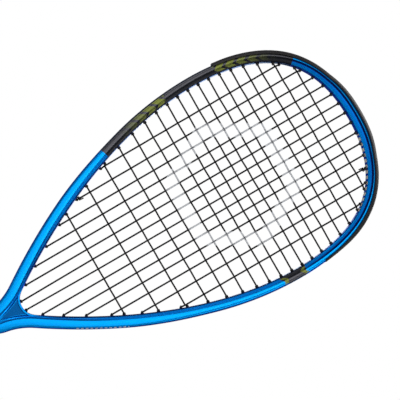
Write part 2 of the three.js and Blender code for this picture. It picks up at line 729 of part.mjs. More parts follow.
// The grip is one strip wound up the octagonal pallets and trimmed level at both ends.
function gripWrap() {
  const inner = grown(PALLET, GAP);
  const outer = grown(inner, GRIP.thickness);
  const turns = (GRIP.top - GRIP.bottom) / GRIP.pitch + 2;
  const corners = octagon(inner, 0).map((p, k) => ({ inner: p, outer: octagon(outer, 0)[k] }));
  const rings = Array.from({ length: Math.ceil(turns * 8) + 1 }, (_, k) => {
    const { inner: low, outer: high } = corners[k % 8];
    const z = GRIP.bottom - GRIP.pitch + (GRIP.pitch * k) / 8;
    const top = z + GRIP.pitch - GRIP.joint;
    const shoulder = low.clone().lerp(high, GRIP.shoulder);
    const section = [
      [low, z], [shoulder, z], [high, z + GRIP.bevel], [high, top - GRIP.bevel], [shoulder, top], [low, top],
    ];
    return section.map(([p, height]) => new THREE.Vector3(p.x, p.y, height));
  });
  const trimmed = box([-BEYOND, -BEYOND, GRIP.bottom], [BEYOND, BEYOND, GRIP.top]);
  return solid(loft(rings)).intersect(solid(trimmed));
}

function finishingTape() {
  const inside = grown(PALLET, GAP + GRIP.thickness + GAP);
  return octagonTube(
    [TAPE.bottom, TAPE.top].map((z) => octagon(grown(inside, TAPE.thickness), z)),
    [TAPE.bottom - PAST, TAPE.top + PAST].map((z) => octagon(inside, z)),
  );
}

function gripCollar() {
  const wide = grown(PALLET, GRIP.thickness + TAPE.thickness + 3 * GAP);
  const narrow = grown(PALLET_TOP, 2 * GAP);
  const outside = [[wide, COLLAR.bottom], [wide, COLLAR.bend], [narrow, COLLAR.top]]
    .map(([size, z]) => octagon(grown(size, COLLAR.wall), z));
  const inside = [
    [wide, COLLAR.bottom - PAST], [wide, COLLAR.bend], [narrow, COLLAR.top], [narrow, COLLAR.top + PAST],
  ].map(([size, z]) => octagon(size, z));
  return octagonTube(outside, inside);
}

function balancePlug(side) {
  const { bottom, top } = PLUG;
  const { width: bevel, height } = PLUG_BEVEL;
  const middle = new THREE.Vector3((side * (PLUG.inner + PLUG.outer)) / 2, 0, 0);
  const levels = [[bevel, bottom], [0, bottom + height], [0, top - height], [bevel, top]];
  return loft(levels.map(([shrink, z]) => {
    const size = { x: (PLUG.outer - PLUG.inner) / 2 - shrink, y: PLUG.y - shrink, chamfer: PLUG.chamfer };
    return octagon(size, z).map((p) => p.add(middle));
  }));
}

// ---------------------------------------------------------------- assembly

const racket = new THREE.Group();
racket.name = 'squash_racket';

function addPart(name, shape, material) {
  const mesh = new THREE.Mesh(shape.isBufferGeometry ? shape : geometryOf(shape), material);
  mesh.name = name;
  racket.add(mesh);
}

addPart('frame', frameSolid(holes.map(frameHole)), finish.frame());
addPart('bumper_guard', bumperGuard(), finish.bumper());
addPart('main_string', mainString(), finish.string());
addPart('cross_string', crossString(), finish.string());
addPart('main_string_knot', knot(holeFor['mainbottom5-1'], 1), finish.string());
addPart('cross_string_knot', knot(holeFor.maintop41, 11), finish.string());
addPart('butt_cap', buttCap(), finish.cap());
addPart('grip_wrap', gripWrap(), finish.grip());
addPart('finishing_tape', finishingTape(), finish.tape());
addPart('grip_collar', gripCollar(), finish.collar());
for (const [side, label] of [[-1, 'left'], [1, 'right']]) {
  addPart(`side_grommet_strip_${label}`, sideStrip(side), finish.grommet());
  throatHoles(side).forEach((hole, k) => {
    addPart(`throat_grommet_${label}_${k + 1}`, throatGrommet(hole), finish.grommet());
  });
  addPart(`handle_pallet_${label}`, pallet(side), finish.foam());
  addPart(`balance_plug_${label}`, balancePlug(side), finish.silicone());
  STAPLE.heights.forEach((z, k) => addPart(`cap_staple_${label}_${k + 1}`, staple(side, z), finish.steel()));
}

export default racket;
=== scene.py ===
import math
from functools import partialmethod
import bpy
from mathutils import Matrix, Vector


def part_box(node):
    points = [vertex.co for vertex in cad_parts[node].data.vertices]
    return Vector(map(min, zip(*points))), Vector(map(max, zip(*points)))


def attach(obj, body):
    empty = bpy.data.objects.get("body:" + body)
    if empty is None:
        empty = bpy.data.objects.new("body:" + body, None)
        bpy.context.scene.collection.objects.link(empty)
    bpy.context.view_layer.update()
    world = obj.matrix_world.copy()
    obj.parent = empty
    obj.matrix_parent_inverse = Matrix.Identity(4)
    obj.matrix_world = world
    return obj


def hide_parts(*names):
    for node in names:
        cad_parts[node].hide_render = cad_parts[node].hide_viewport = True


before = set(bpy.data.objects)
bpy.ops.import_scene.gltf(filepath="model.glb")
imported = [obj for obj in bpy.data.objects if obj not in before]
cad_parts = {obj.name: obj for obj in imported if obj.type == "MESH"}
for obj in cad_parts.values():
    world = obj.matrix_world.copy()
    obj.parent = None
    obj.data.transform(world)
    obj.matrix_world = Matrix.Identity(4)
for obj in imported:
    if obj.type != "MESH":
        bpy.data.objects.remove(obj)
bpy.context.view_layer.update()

# Squash racket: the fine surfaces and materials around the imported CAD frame. Z runs from the butt to the
# tip, the string bed lies in the plane y = 0 and the shown face looks along -Y. Shapes are worked out in
# millimetres and turned into metres when a mesh is made.

from types import SimpleNamespace

import bmesh
import bpy
import numpy as np
from mathutils import Matrix, Vector

MM = 0.001

# ------------ driving dimensions, millimetres


def cad(node):
    """Lowest and highest corner of a CAD node, in millimetres."""
    low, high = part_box(node)
    return np.array(low) / MM, np.array(high) / MM


# Inner edge of the hoop, half outline as [x, z] control points of Bezier curves.
TIP_Z = 672.8
WIDEST = (96.6, 561.4)
ARM_FOOT = (13.0, 331.9)
CROTCH_Z = 324.5
MERGE_Z = 291.0
SHAFT_FOOT_Z = cad("frame")[0][2]
HEAD_CURVE = [(0, TIP_Z), (69.8, TIP_Z), (WIDEST[0], 630.6), WIDEST]
FLANK_CURVE = [WIDEST, (WIDEST[0], 474.2), (48.8, 384.2), ARM_FOOT]
MERGE_CURVE = [ARM_FOOT, (4.6, 319.6), (0, 306), (0, MERGE_Z)]
CROTCH_CURVE = [ARM_FOOT, (9.6, 326.9), (5.4, CROTCH_Z), (0, CROTCH_Z)]

# Tube width in the string plane and depth along Y, as [z, size] from the shaft to the tip.
TUBE_WIDTH = [
    (284, 9.0), (303, 12.0), (400, 11.8), (480, 10.1), (560, 9.3), (640, 9.0), (666, 8.7), (TIP_Z, 10.4),
]
TUBE_DEPTH = [(284, 19.5), (330, 20.5), (420, 20.0), (560, 18.6), (TIP_Z, 17.6)]
SHAFT_BLEND = (286, 322)
GROOVE = {"half_width": 2.9, "depth": 3.0, "fade": (292, 306)}
WALL = 1.35

# Places of the styling crease and of the outer shoulder, as shares of the tube's width at each height.
CREASE_PLACE = [(340, 0.23), (390, 0.29), (480, 0.33), (580, 0.39), (637, 0.46), (TIP_Z, 0.54)]
SHOULDER_PLACE = [(400, 0.86), (500, 0.76), (TIP_Z, 0.74)]
CREASE = {"half_width": 0.6, "depth": 0.45, "fade": (222, 262)}
WEB = {"depth": 10.5, "in_tube": 2.5}
LIP = {"width": 2.2, "depth": 16.0, "rounding": 0.9}

# Strings. Mains stand evenly in the middle of the bed and spread towards its sides. Crosses stand closest in
# the upper half of the bed, and open out by two fading terms, one from the throat and one from the tip.
MAIN_SPACING = {"pairs": 7, "pitch": 10.4, "spread": 6.6, "power": 4.5}
MAIN_FAN = 0.0001
BED_MIDDLE_Z = 520.8
CROSS_SPACING = {
    "first": 401.4, "gaps": 17, "least": 9.1, "throat": 19.5, "throat_fade": 3.35, "tip": 6, "tip_fade": 3,
}
STRING_RADIUS = 0.8
WEAVE = 0.8
LANE = 1.0
LOOP_RISE = 0.85
LOOSE_END = 4
KNOT = {"cord": 0.6, "turns": 1.5, "pitch": 1.3, "radius": 1.5, "start": 1.6, "tail": 3.6}

# Grommets and bumper.
BARREL = {
    "reach": 0.7, "bend": 0.4, "past_bend": 0.9, "root": 1.62, "mouth": 1.5, "bore": 0.88, "hole": 1.75,
    "bend_start": 0.2, "straight_end": 1.2,
}
HOLE_PITCH = 6.0
STRIP = {"half_width": 2.55, "bottom": 2.7, "top": 1.8}
FLANGE_LENGTH = 6.0
BUMPER = {"rise": 2.35, "end": 585, "full": 601, "left_step": 0.9, "right_step": 0.12, "right_full": 632}
SIDE_STRIP_Z = (397.4, 582)
CROTCH_EXIT_Z = 318

# ------------ general helpers


def smooth(t):
    t = np.clip(t, 0, 1)
    return t * t * (3 - 2 * t)


def fade_in(value, span):
    return smooth((np.asarray(value, float) - span[0]) / (span[1] - span[0]))


def mix(a, b, t):
    return a + (b - a) * t


def size_at(knots, z):
    """Sizes at heights z, easing from each [z, size] knot to the next."""
    heights, sizes = np.array(knots, float).T
    upper = np.clip(np.searchsorted(heights, z), 1, len(heights) - 1)
    share = smooth((z - heights[upper - 1]) / (heights[upper] - heights[upper - 1]))
    return mix(sizes[upper - 1], sizes[upper], share)


def bezier(points, t):
    a, b, c, d = (np.array(p, float) for p in points)
    t = np.asarray(t, float)[..., None]
    return a * (1 - t) ** 3 + 3 * b * t * (1 - t) ** 2 + 3 * c * t**2 * (1 - t) + d * t**3


def unit(vectors):
    return vectors / np.linalg.norm(vectors, axis=-1, keepdims=True)


def arc(start, corner, end, t):
    """Quadratic arc that leaves start towards the corner and reaches end."""
    return start * (1 - t) ** 2 + 2 * corner * t * (1 - t) + end * t * t


def running_length(points):
    """Length along a line of points, up to each of them."""
    return np.concatenate([[0], np.cumsum(np.linalg.norm(np.diff(points, axis=0), axis=1))])


def fillet(rings, radii, steps=4):
    """Rounds the corners of closed rings (row, corner, 2) with short quadratic arcs."""
    def towards(neighbour):
        edge = neighbour - rings
        length = np.linalg.norm(edge, axis=2, keepdims=True)
        return rings + edge / length * np.minimum(np.array(radii)[None, :, None], 0.48 * length)

    start, end = towards(np.roll(rings, 1, axis=1)), towards(np.roll(rings, -1, axis=1))
    arcs = [arc(start, rings, end, t) for t in np.linspace(0, 1, steps + 1)]
    return np.stack(arcs, axis=2).reshape(len(rings), -1, 2)


def soften(path, radius, sharpest=0.97, steps=6):
    """Rounds the sharp turns of a 3-D line of points."""
    out = [path[0]]
    for before, here, after in zip(path, path[1:], path[2:]):
        back, ahead = before - here, after - here
        reach = min(radius, 0.48 * np.linalg.norm(back), 0.48 * np.linalg.norm(ahead))
        if -unit(back) @ unit(ahead) > sharpest:
            out.append(here)
            continue
        start, end = here + unit(back) * reach, here + unit(ahead) * reach
        out += [arc(start, here, end, t) for t in np.linspace(0, 1, steps)]
    return np.array(out + [path[-1]])


# ------------ solids

# A solid is (points, faces), in millimetres. Several solids can go into one mesh.


def loft(rings, closed=False):
    """Skin over rings (row, point, 3), capped at both ends or closed from the last ring to the first."""
    rows, count = rings.shape[:2]
    index = np.arange(rows * count).reshape(rows, count)
    lower = index if closed else index[:-1]
    upper = np.roll(index, -1, axis=0) if closed else index[1:]
    quads = np.stack([lower, np.roll(lower, -1, axis=1), np.roll(upper, -1, axis=1), upper], axis=-1)
    caps = [] if closed else [index[0][::-1].tolist(), index[-1].tolist()]
    return rings.reshape(-1, 3), quads.reshape(-1, 4).tolist() + caps


def swept(path, outlines, up=(0, 1, 0)):
    """Rings of a (points, 2) outline, or one per point, along a path; up is its second axis at the start."""
    path = np.asarray(path, float)
    along = unit(np.gradient(path, axis=0))
    up = np.array(up, float)
    outlines = np.broadcast_to(outlines, (len(path), *outlines.shape[-2:]))
    rings = []
    for point, direction, outline in zip(path, along, outlines):
        up = unit(up - direction * (up @ direction))
        across = np.cross(direction, up)
        rings.append(point + outline[:, :1] * across + outline[:, 1:] * up)
    return np.array(rings)


def circle(radius, sides):
    angle = np.linspace(0, 2 * math.pi, sides, endpoint=False)
    return np.stack([np.cos(angle), np.sin(angle)], axis=-1) * radius


def pipe(path, radii, sides, up=(0, 1, 0)):
    """Round solid along a path, with a radius for each of its points."""
    return loft(swept(path, circle(1, sides)[None] * radii[:, None, None], up))


def cord(path, radius, sides=10, up=(0, 1, 0)):
    """Round cord along a path, with slightly rounded ends."""
    path = np.asarray(path, float)
    first = path[0] - unit(path[1] - path[0]) * radius * 0.4
    last = path[-1] + unit(path[-1] - path[-2]) * radius * 0.4
    path = np.vstack([first, path, last])
    radii = np.full(len(path), float(radius))
    radii[[0, -1]] *= 0.55
    return pipe(path, radii, sides, up)


def sides_of(axis):
    """Two directions at right angles to an axis and to each other."""
    side = unit(np.cross(axis, (0, 1, 0)))
    return side, np.cross(side, axis)


def turned(start, axis, profile, sides=24):
    """Solid of revolution: profile is [distance along axis, radius] from one end to the other."""
    axis = unit(np.asarray(axis, float))
    path = [np.asarray(start, float) + axis * along for along, _ in profile]
    side, up = sides_of(axis)
    ring = circle(1, sides)
    rings = [p + radius * (ring[:, :1] * side + ring[:, 1:] * up) for p, (_, radius) in zip(path, profile)]
    return loft(np.array(rings))


def add_object(name, data):
    obj = bpy.data.objects.new(name, data)
    bpy.context.scene.collection.objects.link(obj)
    return obj


def new_object(name, solids):
    """One object in metres from a list of solids, with every face pointing out."""
    points, faces, count = [], [], 0
    for solid_points, solid_faces in solids:
        points.append(solid_points)
        faces += [[corner + count for corner in face] for face in solid_faces]
        count += len(solid_points)
    mesh = bpy.data.meshes.new(name)
    mesh.from_pydata((np.vstack(points) * MM).tolist(), [], faces)
    edit = bmesh.new()
    edit.from_mesh(mesh)
    bmesh.ops.recalc_face_normals(edit, faces=edit.faces)
    edit.to_mesh(mesh)
    edit.free()
    return add_object(name, mesh)


def combine(obj, operation, solids):
    """Joins solids to an object (UNION), cuts them out (DIFFERENCE) or keeps the shared part (INTERSECT)."""
    tool = new_object("tool", solids)
    modifier = obj.modifiers.new("combine", "BOOLEAN")
    modifier.object, modifier.operation, modifier.solver = tool, operation, "MANIFOLD"
    graph = bpy.context.evaluated_depsgraph_get()
    result = bpy.data.meshes.new_from_object(obj.evaluated_get(graph), depsgraph=graph)
    obj.modifiers.clear()
    obj.data = result
    bpy.data.objects.remove(tool)
    return obj


def shade(obj, sharp):
    obj.data.shade_smooth()
    obj.data.set_sharp_from_angle(angle=math.radians(sharp))


def coat(obj, material):
    obj.data.materials.clear()
    obj.data.materials.append(material)


def show(obj, material, node, sharp=32):
    """Gives a finished piece its material and shading, and puts it in the place of a CAD node."""
    shade(obj, sharp)
    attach(obj, "root")
    coat(obj, material)
    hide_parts(node)


# ------------ the line of the frame

CURVE_STEPS = np.linspace(0, 1, 900)
RIM = np.vstack([bezier(curve, CURVE_STEPS)[:-1] for curve in (HEAD_CURVE, FLANK_CURVE, MERGE_CURVE)]
                + [np.linspace((0, MERGE_Z), (0, SHAFT_FOOT_Z), 300)])
RIM_S = running_length(RIM)
RIM_TANGENT = unit(np.gradient(RIM, RIM_S, axis=0))
RIM_TANGENT[0] = (1, 0)
TO_WIDEST, TO_ARM_FOOT, TO_MERGE = (RIM_S[k * (len(CURVE_STEPS) - 1)] for k in (1, 2, 3))
RIM_LENGTH = RIM_S[-1]


def rim(distance):
    """Inner edge and outward normal at signed distances from the tip (negative on the left)."""
    distance = np.atleast_1d(np.asarray(distance, float))
    s, side = np.abs(distance), np.where(distance < 0, -1.0, 1.0)
    x, z = (np.interp(s, RIM_S, RIM[:, k]) for k in (0, 1))
    tx, tz = (np.interp(s, RIM_S, RIM_TANGENT[:, k]) for k in (0, 1))
    return np.stack([side * x, z], axis=-1), unit(np.stack([-side * tz, tx], axis=-1))


def rim_height(distance):
    return rim(distance)[0][:, 1]


def distance_at(z):
    """Distance from the tip of the inner edge's point at a height."""
    return float(np.interp(-z, -RIM[:, 1], RIM_S))


def place(distance, section):
    """Sections (row, point, 2) of [outward, y] pairs at signed distances, as points in space."""
    inner, normal = rim(distance)
    flat = inner[:, None] + normal[:, None] * section[..., :1]
    return np.stack([flat[..., 0], section[..., 1], flat[..., 1]], axis=-1)


def section(count, corners, steps=4):
    """Closed rings from their upper half's corners, [outward, y, fillet radius], and its mirror image."""
    pairs = [np.broadcast_arrays(np.zeros(count) + out, y) for out, y, _ in corners]
    half = np.stack([np.stack(pair, axis=-1) for pair in pairs], axis=1)
    radii = [radius for _, _, radius in corners]
    return fillet(np.concatenate([half, half[:, ::-1] * (1, -1)], axis=1), radii + radii[::-1], steps)


def tube_size(distance):
    """Width and depth of the frame's tube at signed distances from the tip."""
    z = rim_height(distance)
    return size_at(TUBE_WIDTH, z), size_at(TUBE_DEPTH, z)


# ------------ frame


def tube_form(distance):
    """Height, width, half depth, share of the grooved shape and depth of the groove."""
    z = rim_height(distance)
    w, depth = tube_size(distance)
    return z, w, depth / 2, fade_in(z, SHAFT_BLEND), GROOVE["depth"] * fade_in(z, GROOVE["fade"])


def tube_section(distance):
    z, w, half, grooved, groove_depth = tube_form(distance)
    crease = size_at(CREASE_PLACE, z) * w
    shoulder = size_at(SHOULDER_PLACE, z) * w
    crease_y = half * mix(1, 0.965, grooved)
    crease_depth = CREASE["depth"] * fade_in(z, CREASE["fade"])
    return section(len(z), [
        (0, half * mix(1, 0.62, grooved), 1.6),
        (0.07 * w, half * mix(1, 0.80, grooved), 0.6),
        (crease - CREASE["half_width"], crease_y - 0.02 * half, 0.3),
        (crease, crease_y - crease_depth, 0.12),
        (crease + CREASE["half_width"], crease_y, 0.3),
        (mix(crease, shoulder, 0.4), half, 1.4),
        (shoulder, half * mix(0.92, 0.975, grooved), 1.2),
        (mix(shoulder, w, 0.8), half * 0.72, 1.4),
        (w, GROOVE["half_width"] + 0.5, 0.3),
        (w - groove_depth, GROOVE["half_width"], 0.4),
    ])


def bore_section(distance):
    z, w, half, grooved, groove_depth = tube_form(distance)
    return section(len(z), [
        (WALL, half * mix(0.8, 0.55, grooved), 1.0),
        (0.33 * w, half - WALL - 0.5, 1.0),
        (0.64 * w, half - WALL - 0.5, 1.0),
        (w - WALL - 0.3, half * 0.6, 1.0),
        (w - groove_depth - WALL, GROOVE["half_width"] + 0.4, 0.5),
    ], steps=2)


def frame_distances(step):
    """Stations from the tip to the shaft's foot: a step apart round the head, and wider down the shaft."""
    shaft_start = TO_MERGE + 4
    head = np.linspace(0, shaft_start, int(shaft_start / step))
    return np.concatenate([head, np.linspace(shaft_start, RIM_LENGTH, 26)[1:]])


def crotch_plate(thickness, lower_edge):
    """Flat plate: its top follows the crotch, and its right lower edge is given from the middle upwards."""
    crotch = bezier(CROTCH_CURVE, np.linspace(0, 1, 24))
    right = np.vstack([lower_edge, crotch])
    outline = np.vstack([right, right[-2::-1] * (-1, 1)])
    return loft(np.array([[(x, y, z) for x, z in outline] for y in (-thickness / 2, thickness / 2)]))


def web():
    """Recessed wall that closes the corner between the arms."""
    inner, normal = rim(np.linspace(TO_MERGE, TO_ARM_FOOT, 12))
    return crotch_plate(WEB["depth"], inner + normal * WEB["in_tube"])


def lip():
    """Raised rim that follows the crotch from arm to arm, with rounded edges."""
    half_line = bezier(CROTCH_CURVE, np.linspace(0, 1, 20))
    foot = half_line[0] + (half_line[0] - half_line[1]) * 2.0
    half_line = np.vstack([foot, half_line])
    line = np.vstack([half_line, half_line[-2::-1] * (-1, 1)])
    path = np.stack([line[:, 0], np.zeros(len(line)), line[:, 1]], axis=-1)
    width, depth = LIP["width"], LIP["depth"] / 2
    corners = np.array([[(0, -depth), (width, -depth), (width, depth), (0, depth)]], float)
    return loft(swept(path, fillet(corners, [LIP["rounding"]] * 4)[0]))


def build_frame():
    distances, bores = frame_distances(step=2.0), frame_distances(step=6.0)
    tubes = {side: loft(place(side * distances, tube_section(distances))) for side in (1, -1)}
    shell = new_object("frame_shell", [tubes[1]])
    combine(shell, "UNION", [tubes[-1]])
    combine(shell, "UNION", [web()])
    combine(shell, "UNION", [lip()])
    for side in (1, -1):
        combine(shell, "DIFFERENCE", [loft(place(side * bores, bore_section(bores)))])
    combine(shell, "DIFFERENCE", [hole_cutter(hole) for hole in holes])
    mark_frame(shell.data)
    return shell


def mark_frame(mesh):
    """Writes each vertex's place on the tube for the paint: along, out, off the crease and share of width."""
    points = np.zeros(len(mesh.vertices) * 3)
    mesh.vertices.foreach_get("co", points)
    x, y, z = points.reshape(-1, 3).T / MM
    every = 3
    line, at = RIM[::every], RIM_S[::every]
    places = zip(np.abs(x), z)
    nearest = np.array([np.argmin((line[:, 0] - px) ** 2 + (line[:, 1] - pz) ** 2) for px, pz in places])
    tangent = RIM_TANGENT[::every][nearest]
    offset = np.stack([np.abs(x), z], axis=-1) - line[nearest]
    s = at[nearest] + (offset * tangent).sum(axis=1)
    out = offset[:, 0] * -tangent[:, 1] + offset[:, 1] * tangent[:, 0]
    width = size_at(TUBE_WIDTH, line[nearest, 1])
    crease = size_at(CREASE_PLACE, line[nearest, 1]) * width
    for name, values in (("along", s), ("out", out), ("crease", out - crease), ("share", out / width)):
        attribute = mesh.attributes.new(name, "FLOAT", "POINT")
        attribute.data.foreach_set("value", values.astype(np.float32))


# ------------ string ends and their holes


def main_x(x, z):
    return x * (1 + MAIN_FAN * (z - BED_MIDDLE_Z))


def main_place(k):
    by = MAIN_SPACING
    return by["pitch"] * (k + 0.5) + by["spread"] * (k / (by["pairs"] - 1)) ** by["power"]


def cross_gap(k):
    by = CROSS_SPACING
    from_throat = by["throat"] * math.exp(-k / by["throat_fade"])
    from_tip = by["tip"] * math.exp((k - by["gaps"] + 1) / by["tip_fade"])
    return by["least"] + from_throat + from_tip


MAIN_X = [main_place(k) for k in range(MAIN_SPACING["pairs"])]
MAINS = [-x for x in reversed(MAIN_X)] + MAIN_X
CROSSES = CROSS_SPACING["first"] + np.cumsum([0] + [cross_gap(k) for k in range(CROSS_SPACING["gaps"])])
FINE_S = np.arange(0.5, TO_ARM_FOOT, 0.1)
FINE_INNER, FINE_NORMAL = rim(FINE_S)
FINE_BEND = FINE_INNER - FINE_NORMAL * (BARREL["reach"] + BARREL["bend"])


def root_of(values, low, high):
    """Distance from the tip at which values, given along FINE_S, change sign between low and high."""
    inside = np.flatnonzero((FINE_S >= low) & (FINE_S <= high))
    v = values[inside]
    k = inside[np.flatnonzero(np.sign(v[1:]) != np.sign(v[:-1]))[0]]
    return FINE_S[k] + (FINE_S[k + 1] - FINE_S[k]) * values[k] / (values[k] - values[k + 1])


def side_ends():
    """String ends of one side as [name, distance from the tip], in order and a hole's pitch or more apart."""
    ends = []
    for k, x in enumerate(MAIN_X):
        miss = FINE_BEND[:, 0] - main_x(x, FINE_BEND[:, 1])
        ends.append([("top", k), root_of(miss, 0.5, TO_WIDEST)])
        if k > 0:
            ends.append([("bottom", k), root_of(miss, TO_WIDEST, TO_ARM_FOOT)])
    for k, z in enumerate(CROSSES):
        ends.append([("cross", k), root_of(FINE_BEND[:, 1] - z, 0.5, TO_ARM_FOOT)])
    ends.sort(key=lambda end: end[1])
    for _ in range(40):
        for a, b in zip(ends, ends[1:]):
            lack = HOLE_PITCH - (b[1] - a[1])
            if lack > 0:
                a[1] -= lack / 2
                b[1] += lack / 2
    return ends


class Hole:
    """A string hole: which end of which string uses it, and its axis from the inner wall out to its foot."""

    def __init__(self, kind, k, s, side):
        self.kind, self.k, self.s, self.side = kind, k, s, side
        self.y = (side if kind == "cross" else -side) * LANE
        self.width = float(tube_size(s)[0][0])
        inner, normal = rim(side * s)
        self.wall, self.axis = inner[0], normal[0]
        self.normal = normal[0]
        self.foot = self.wall + self.axis * (self.width - STRIP["bottom"])
        if kind == "middle":
            self.leave_by_crotch()

    def leave_by_crotch(self):
        """The two middle mains leave through the crotch and slant out to the arm's groove."""
        curve = bezier(CROTCH_CURVE, CURVE_STEPS)
        t = np.argmin(np.abs(curve[:, 0] - main_x(MAIN_X[0], CROTCH_Z)))
        self.wall = curve[t] * (self.side, 1)
        self.axis = unit(self.foot - self.wall)

    def at(self, distance):
        """Point on the hole's axis, a distance out from the wall."""
        x, z = self.wall + self.axis * distance
        return np.array([x, self.y, z])

    @property
    def bend(self):
        return self.at(-BARREL["reach"] - BARREL["bend"])

    @property
    def length(self):
        return float(np.linalg.norm(self.foot - self.wall))


holes = []
hole_for = {}
ends_in_order = side_ends()
for side in (-1, 1):
    for (kind, k), s in ends_in_order:
        hole_for[kind, k, side] = Hole(kind, k, s, side)
    hole_for["bottom", 0, side] = Hole("middle", 0, distance_at(CROTCH_EXIT_Z), side)
    holes += [hole for key, hole in hole_for.items() if key[2] == side]


def hole_cutter(hole):
    """Round cutter that starts inside the hoop and ends past the foot of the hole."""
    radius, before, past = BARREL["hole"], 2.5, 1.5
    axis = (hole.axis[0], 0, hole.axis[1])
    return turned(hole.at(-before), axis, [(0, radius), (before + hole.length + past, radius)])


def crossings(kind, index):
    """Points where a string of the bed crosses the others inside the hoop."""
    found = []
    for other in range(len(CROSSES) if kind == "main" else len(MAINS)):
        m, c = (index, other) if kind == "main" else (other, index)
        z = CROSSES[c]
        x = main_x(MAINS[m], z)
        side = main_side(m)
        low, high = (hole_for[end, main_rank(m), side].bend[2] for end in ("bottom", "top"))
        in_height = low < z < high
        in_width = abs(x) < abs(hole_for["cross", c, side].bend[0])
        if in_height and in_width:
            lift = WEAVE * (1 if (m + c) % 2 == 0 else -1)
            found.append(np.array([x, lift if kind == "main" else -lift, z]))
    return found


def main_rank(m):
    """Place of a main counted from the middle of the bed."""
    return m - len(MAIN_X) if m >= len(MAIN_X) else len(MAIN_X) - 1 - m


def main_side(m):
    return 1 if m >= len(MAIN_X) else -1


def main_number(hole):
    """The main that ends at a hole, counted from the left."""
    return len(MAIN_X) + hole.k if hole.side > 0 else len(MAIN_X) - 1 - hole.k


def nearest_crossing(hole):
    crossed = crossings("cross", hole.k) if hole.kind == "cross" else crossings("main", main_number(hole))
    return min(crossed, key=lambda point: np.linalg.norm(point - hole.bend))


def turn_in(hole):
    """Line of a string through its barrel's bend, from just inside the wall to the barrel's mouth."""
    ahead = nearest_crossing(hole) - hole.bend
    ahead[1] = 0
    length = np.linalg.norm(ahead)
    mouth = hole.bend + ahead / length * min(BARREL["past_bend"], 0.45 * length)
    return arc(hole.at(BARREL["bend_start"]), hole.bend, mouth, np.linspace(0, 1, 9)[:, None])


def barrel(hole):
    """Tapered sleeve that bends with its string and ends in a rounded mouth."""
    path = np.vstack([hole.at(hole.length + 0.4), hole.at(BARREL["straight_end"]), turn_in(hole)])
    radii = mix(BARREL["root"], BARREL["mouth"], np.linspace(-0.25, 1, len(path)).clip(0, 1))
    radii[-1] -= 0.22
    return pipe(path, radii, 20)


def barrel_bore(hole):
    line = turn_in(hole)
    past_mouth = line[-1] + unit(line[-1] - line[-2]) * 0.8
    path = np.vstack([hole.at(hole.length + 2.5), hole.at(BARREL["straight_end"]), line, past_mouth])
    radii = np.full(len(path), BARREL["bore"])
    radii[-1] += 0.1
    return pipe(path, radii, 16)


# ------------ grommets and bumper


def lined(name, base, strings):
    """A strip with its barrels, each one bored for the string."""
    strip = new_object(name, [base])
    combine(strip, "UNION", [barrel(hole) for hole in strings])
    return combine(strip, "DIFFERENCE", [barrel_bore(hole) for hole in strings])


def strip_base(start, end, side):
    distances = np.linspace(start, end, max(3, int((end - start) / 2.5)))
    width = tube_size(distances)[0]
    half = STRIP["half_width"]
    corners = [(width - STRIP["bottom"], half, 0.25), (width - STRIP["top"], half, 0.35)]
    return loft(place(side * distances, section(len(width), corners, steps=3)))


def bumper_base():
    end = distance_at(BUMPER["end"])
    distances = np.linspace(-end, end, 190)
    w, depth = tube_size(distances)
    z = rim_height(distances)
    left = mix(BUMPER["left_step"], 1, fade_in(z, (BUMPER["end"] - 1, BUMPER["full"])))
    right = mix(BUMPER["right_step"], 1, fade_in(z, (BUMPER["end"] - 1, BUMPER["right_full"])))
    rise = BUMPER["rise"] * np.where(distances < 0, left, right)
    ring = section(len(w), [
        (w - STRIP["top"], 1.9, 0.3),
        (w + rise - 0.2, 2.15, 0.35),
        (w + rise, 3.2, 1.0),
        (w + rise * 0.78, 5.6, 1.6),
        (w + 0.1, 8.2, 1.2),
        (w - 1.0, depth / 2 + 0.15, 0.5),
        (w - 1.6, depth / 2 + 0.02, 0.12),
        (w + 0.3, 5.6, 0.6),
        (w + 0.35, STRIP["half_width"], 0.15),
        (w - STRIP["bottom"], STRIP["half_width"], 0.2),
    ])
    return loft(place(distances, ring))


def build_grommets(nylon, bumper_nylon):
    bumper_end = distance_at(BUMPER["end"])
    strip_start, strip_end = (distance_at(z) for z in reversed(SIDE_STRIP_Z))
    bumper = lined("bumper_guard_moulding", bumper_base(), [hole for hole in holes if hole.s < bumper_end])
    show(bumper, bumper_nylon, "bumper_guard")
    for side, label in ((-1, "left"), (1, "right")):
        own = [hole for hole in holes if hole.side == side]
        inside = [hole for hole in own if strip_start < hole.s < strip_end]
        strip = lined(f"side_grommets_{label}", strip_base(strip_start, strip_end, side), inside)
        show(strip, nylon, f"side_grommet_strip_{label}")
        below = sorted((hole for hole in own if hole.s > strip_end), key=lambda hole: -hole.s)
        for k, hole in enumerate(below, start=1):
            base = strip_base(hole.s - FLANGE_LENGTH / 2, hole.s + FLANGE_LENGTH / 2, side)
            grommet = lined(f"throat_grommet_{label}_{k}_moulding", base, [hole])
            show(grommet, nylon, f"throat_grommet_{label}_{k}")


# ------------ strings


def woven(points, steps=10):
    """Line through points whose y eases from each one to the next."""
    t = np.linspace(0, 1, steps, endpoint=False)[:, None]
    parts = []
    for a, b in zip(points, points[1:]):
        part = a + (b - a) * t
        part[:, 1] = a[1] + (b[1] - a[1]) * (1 - np.cos(math.pi * t[:, 0])) / 2
        parts.append(part)
    return list(np.vstack(parts)) + [points[-1]]


def groove_height(hole):
    """Distance along the hole's axis at which a string lies on the strip."""
    return hole.length + (STRIP["bottom"] - STRIP["top"] + LOOP_RISE) / (hole.axis @ hole.normal)


def string_run(start, middle, end):
    """A string from groove to groove: through a barrel, across the bed and through the opposite barrel."""
    leaving, arriving = turn_in(start), turn_in(end)[::-1]
    bed = woven([leaving[-1], *middle, arriving[0]])
    return [start.at(groove_height(start)), *leaving[:-1], *bed, *arriving[1:], end.at(groove_height(end))]


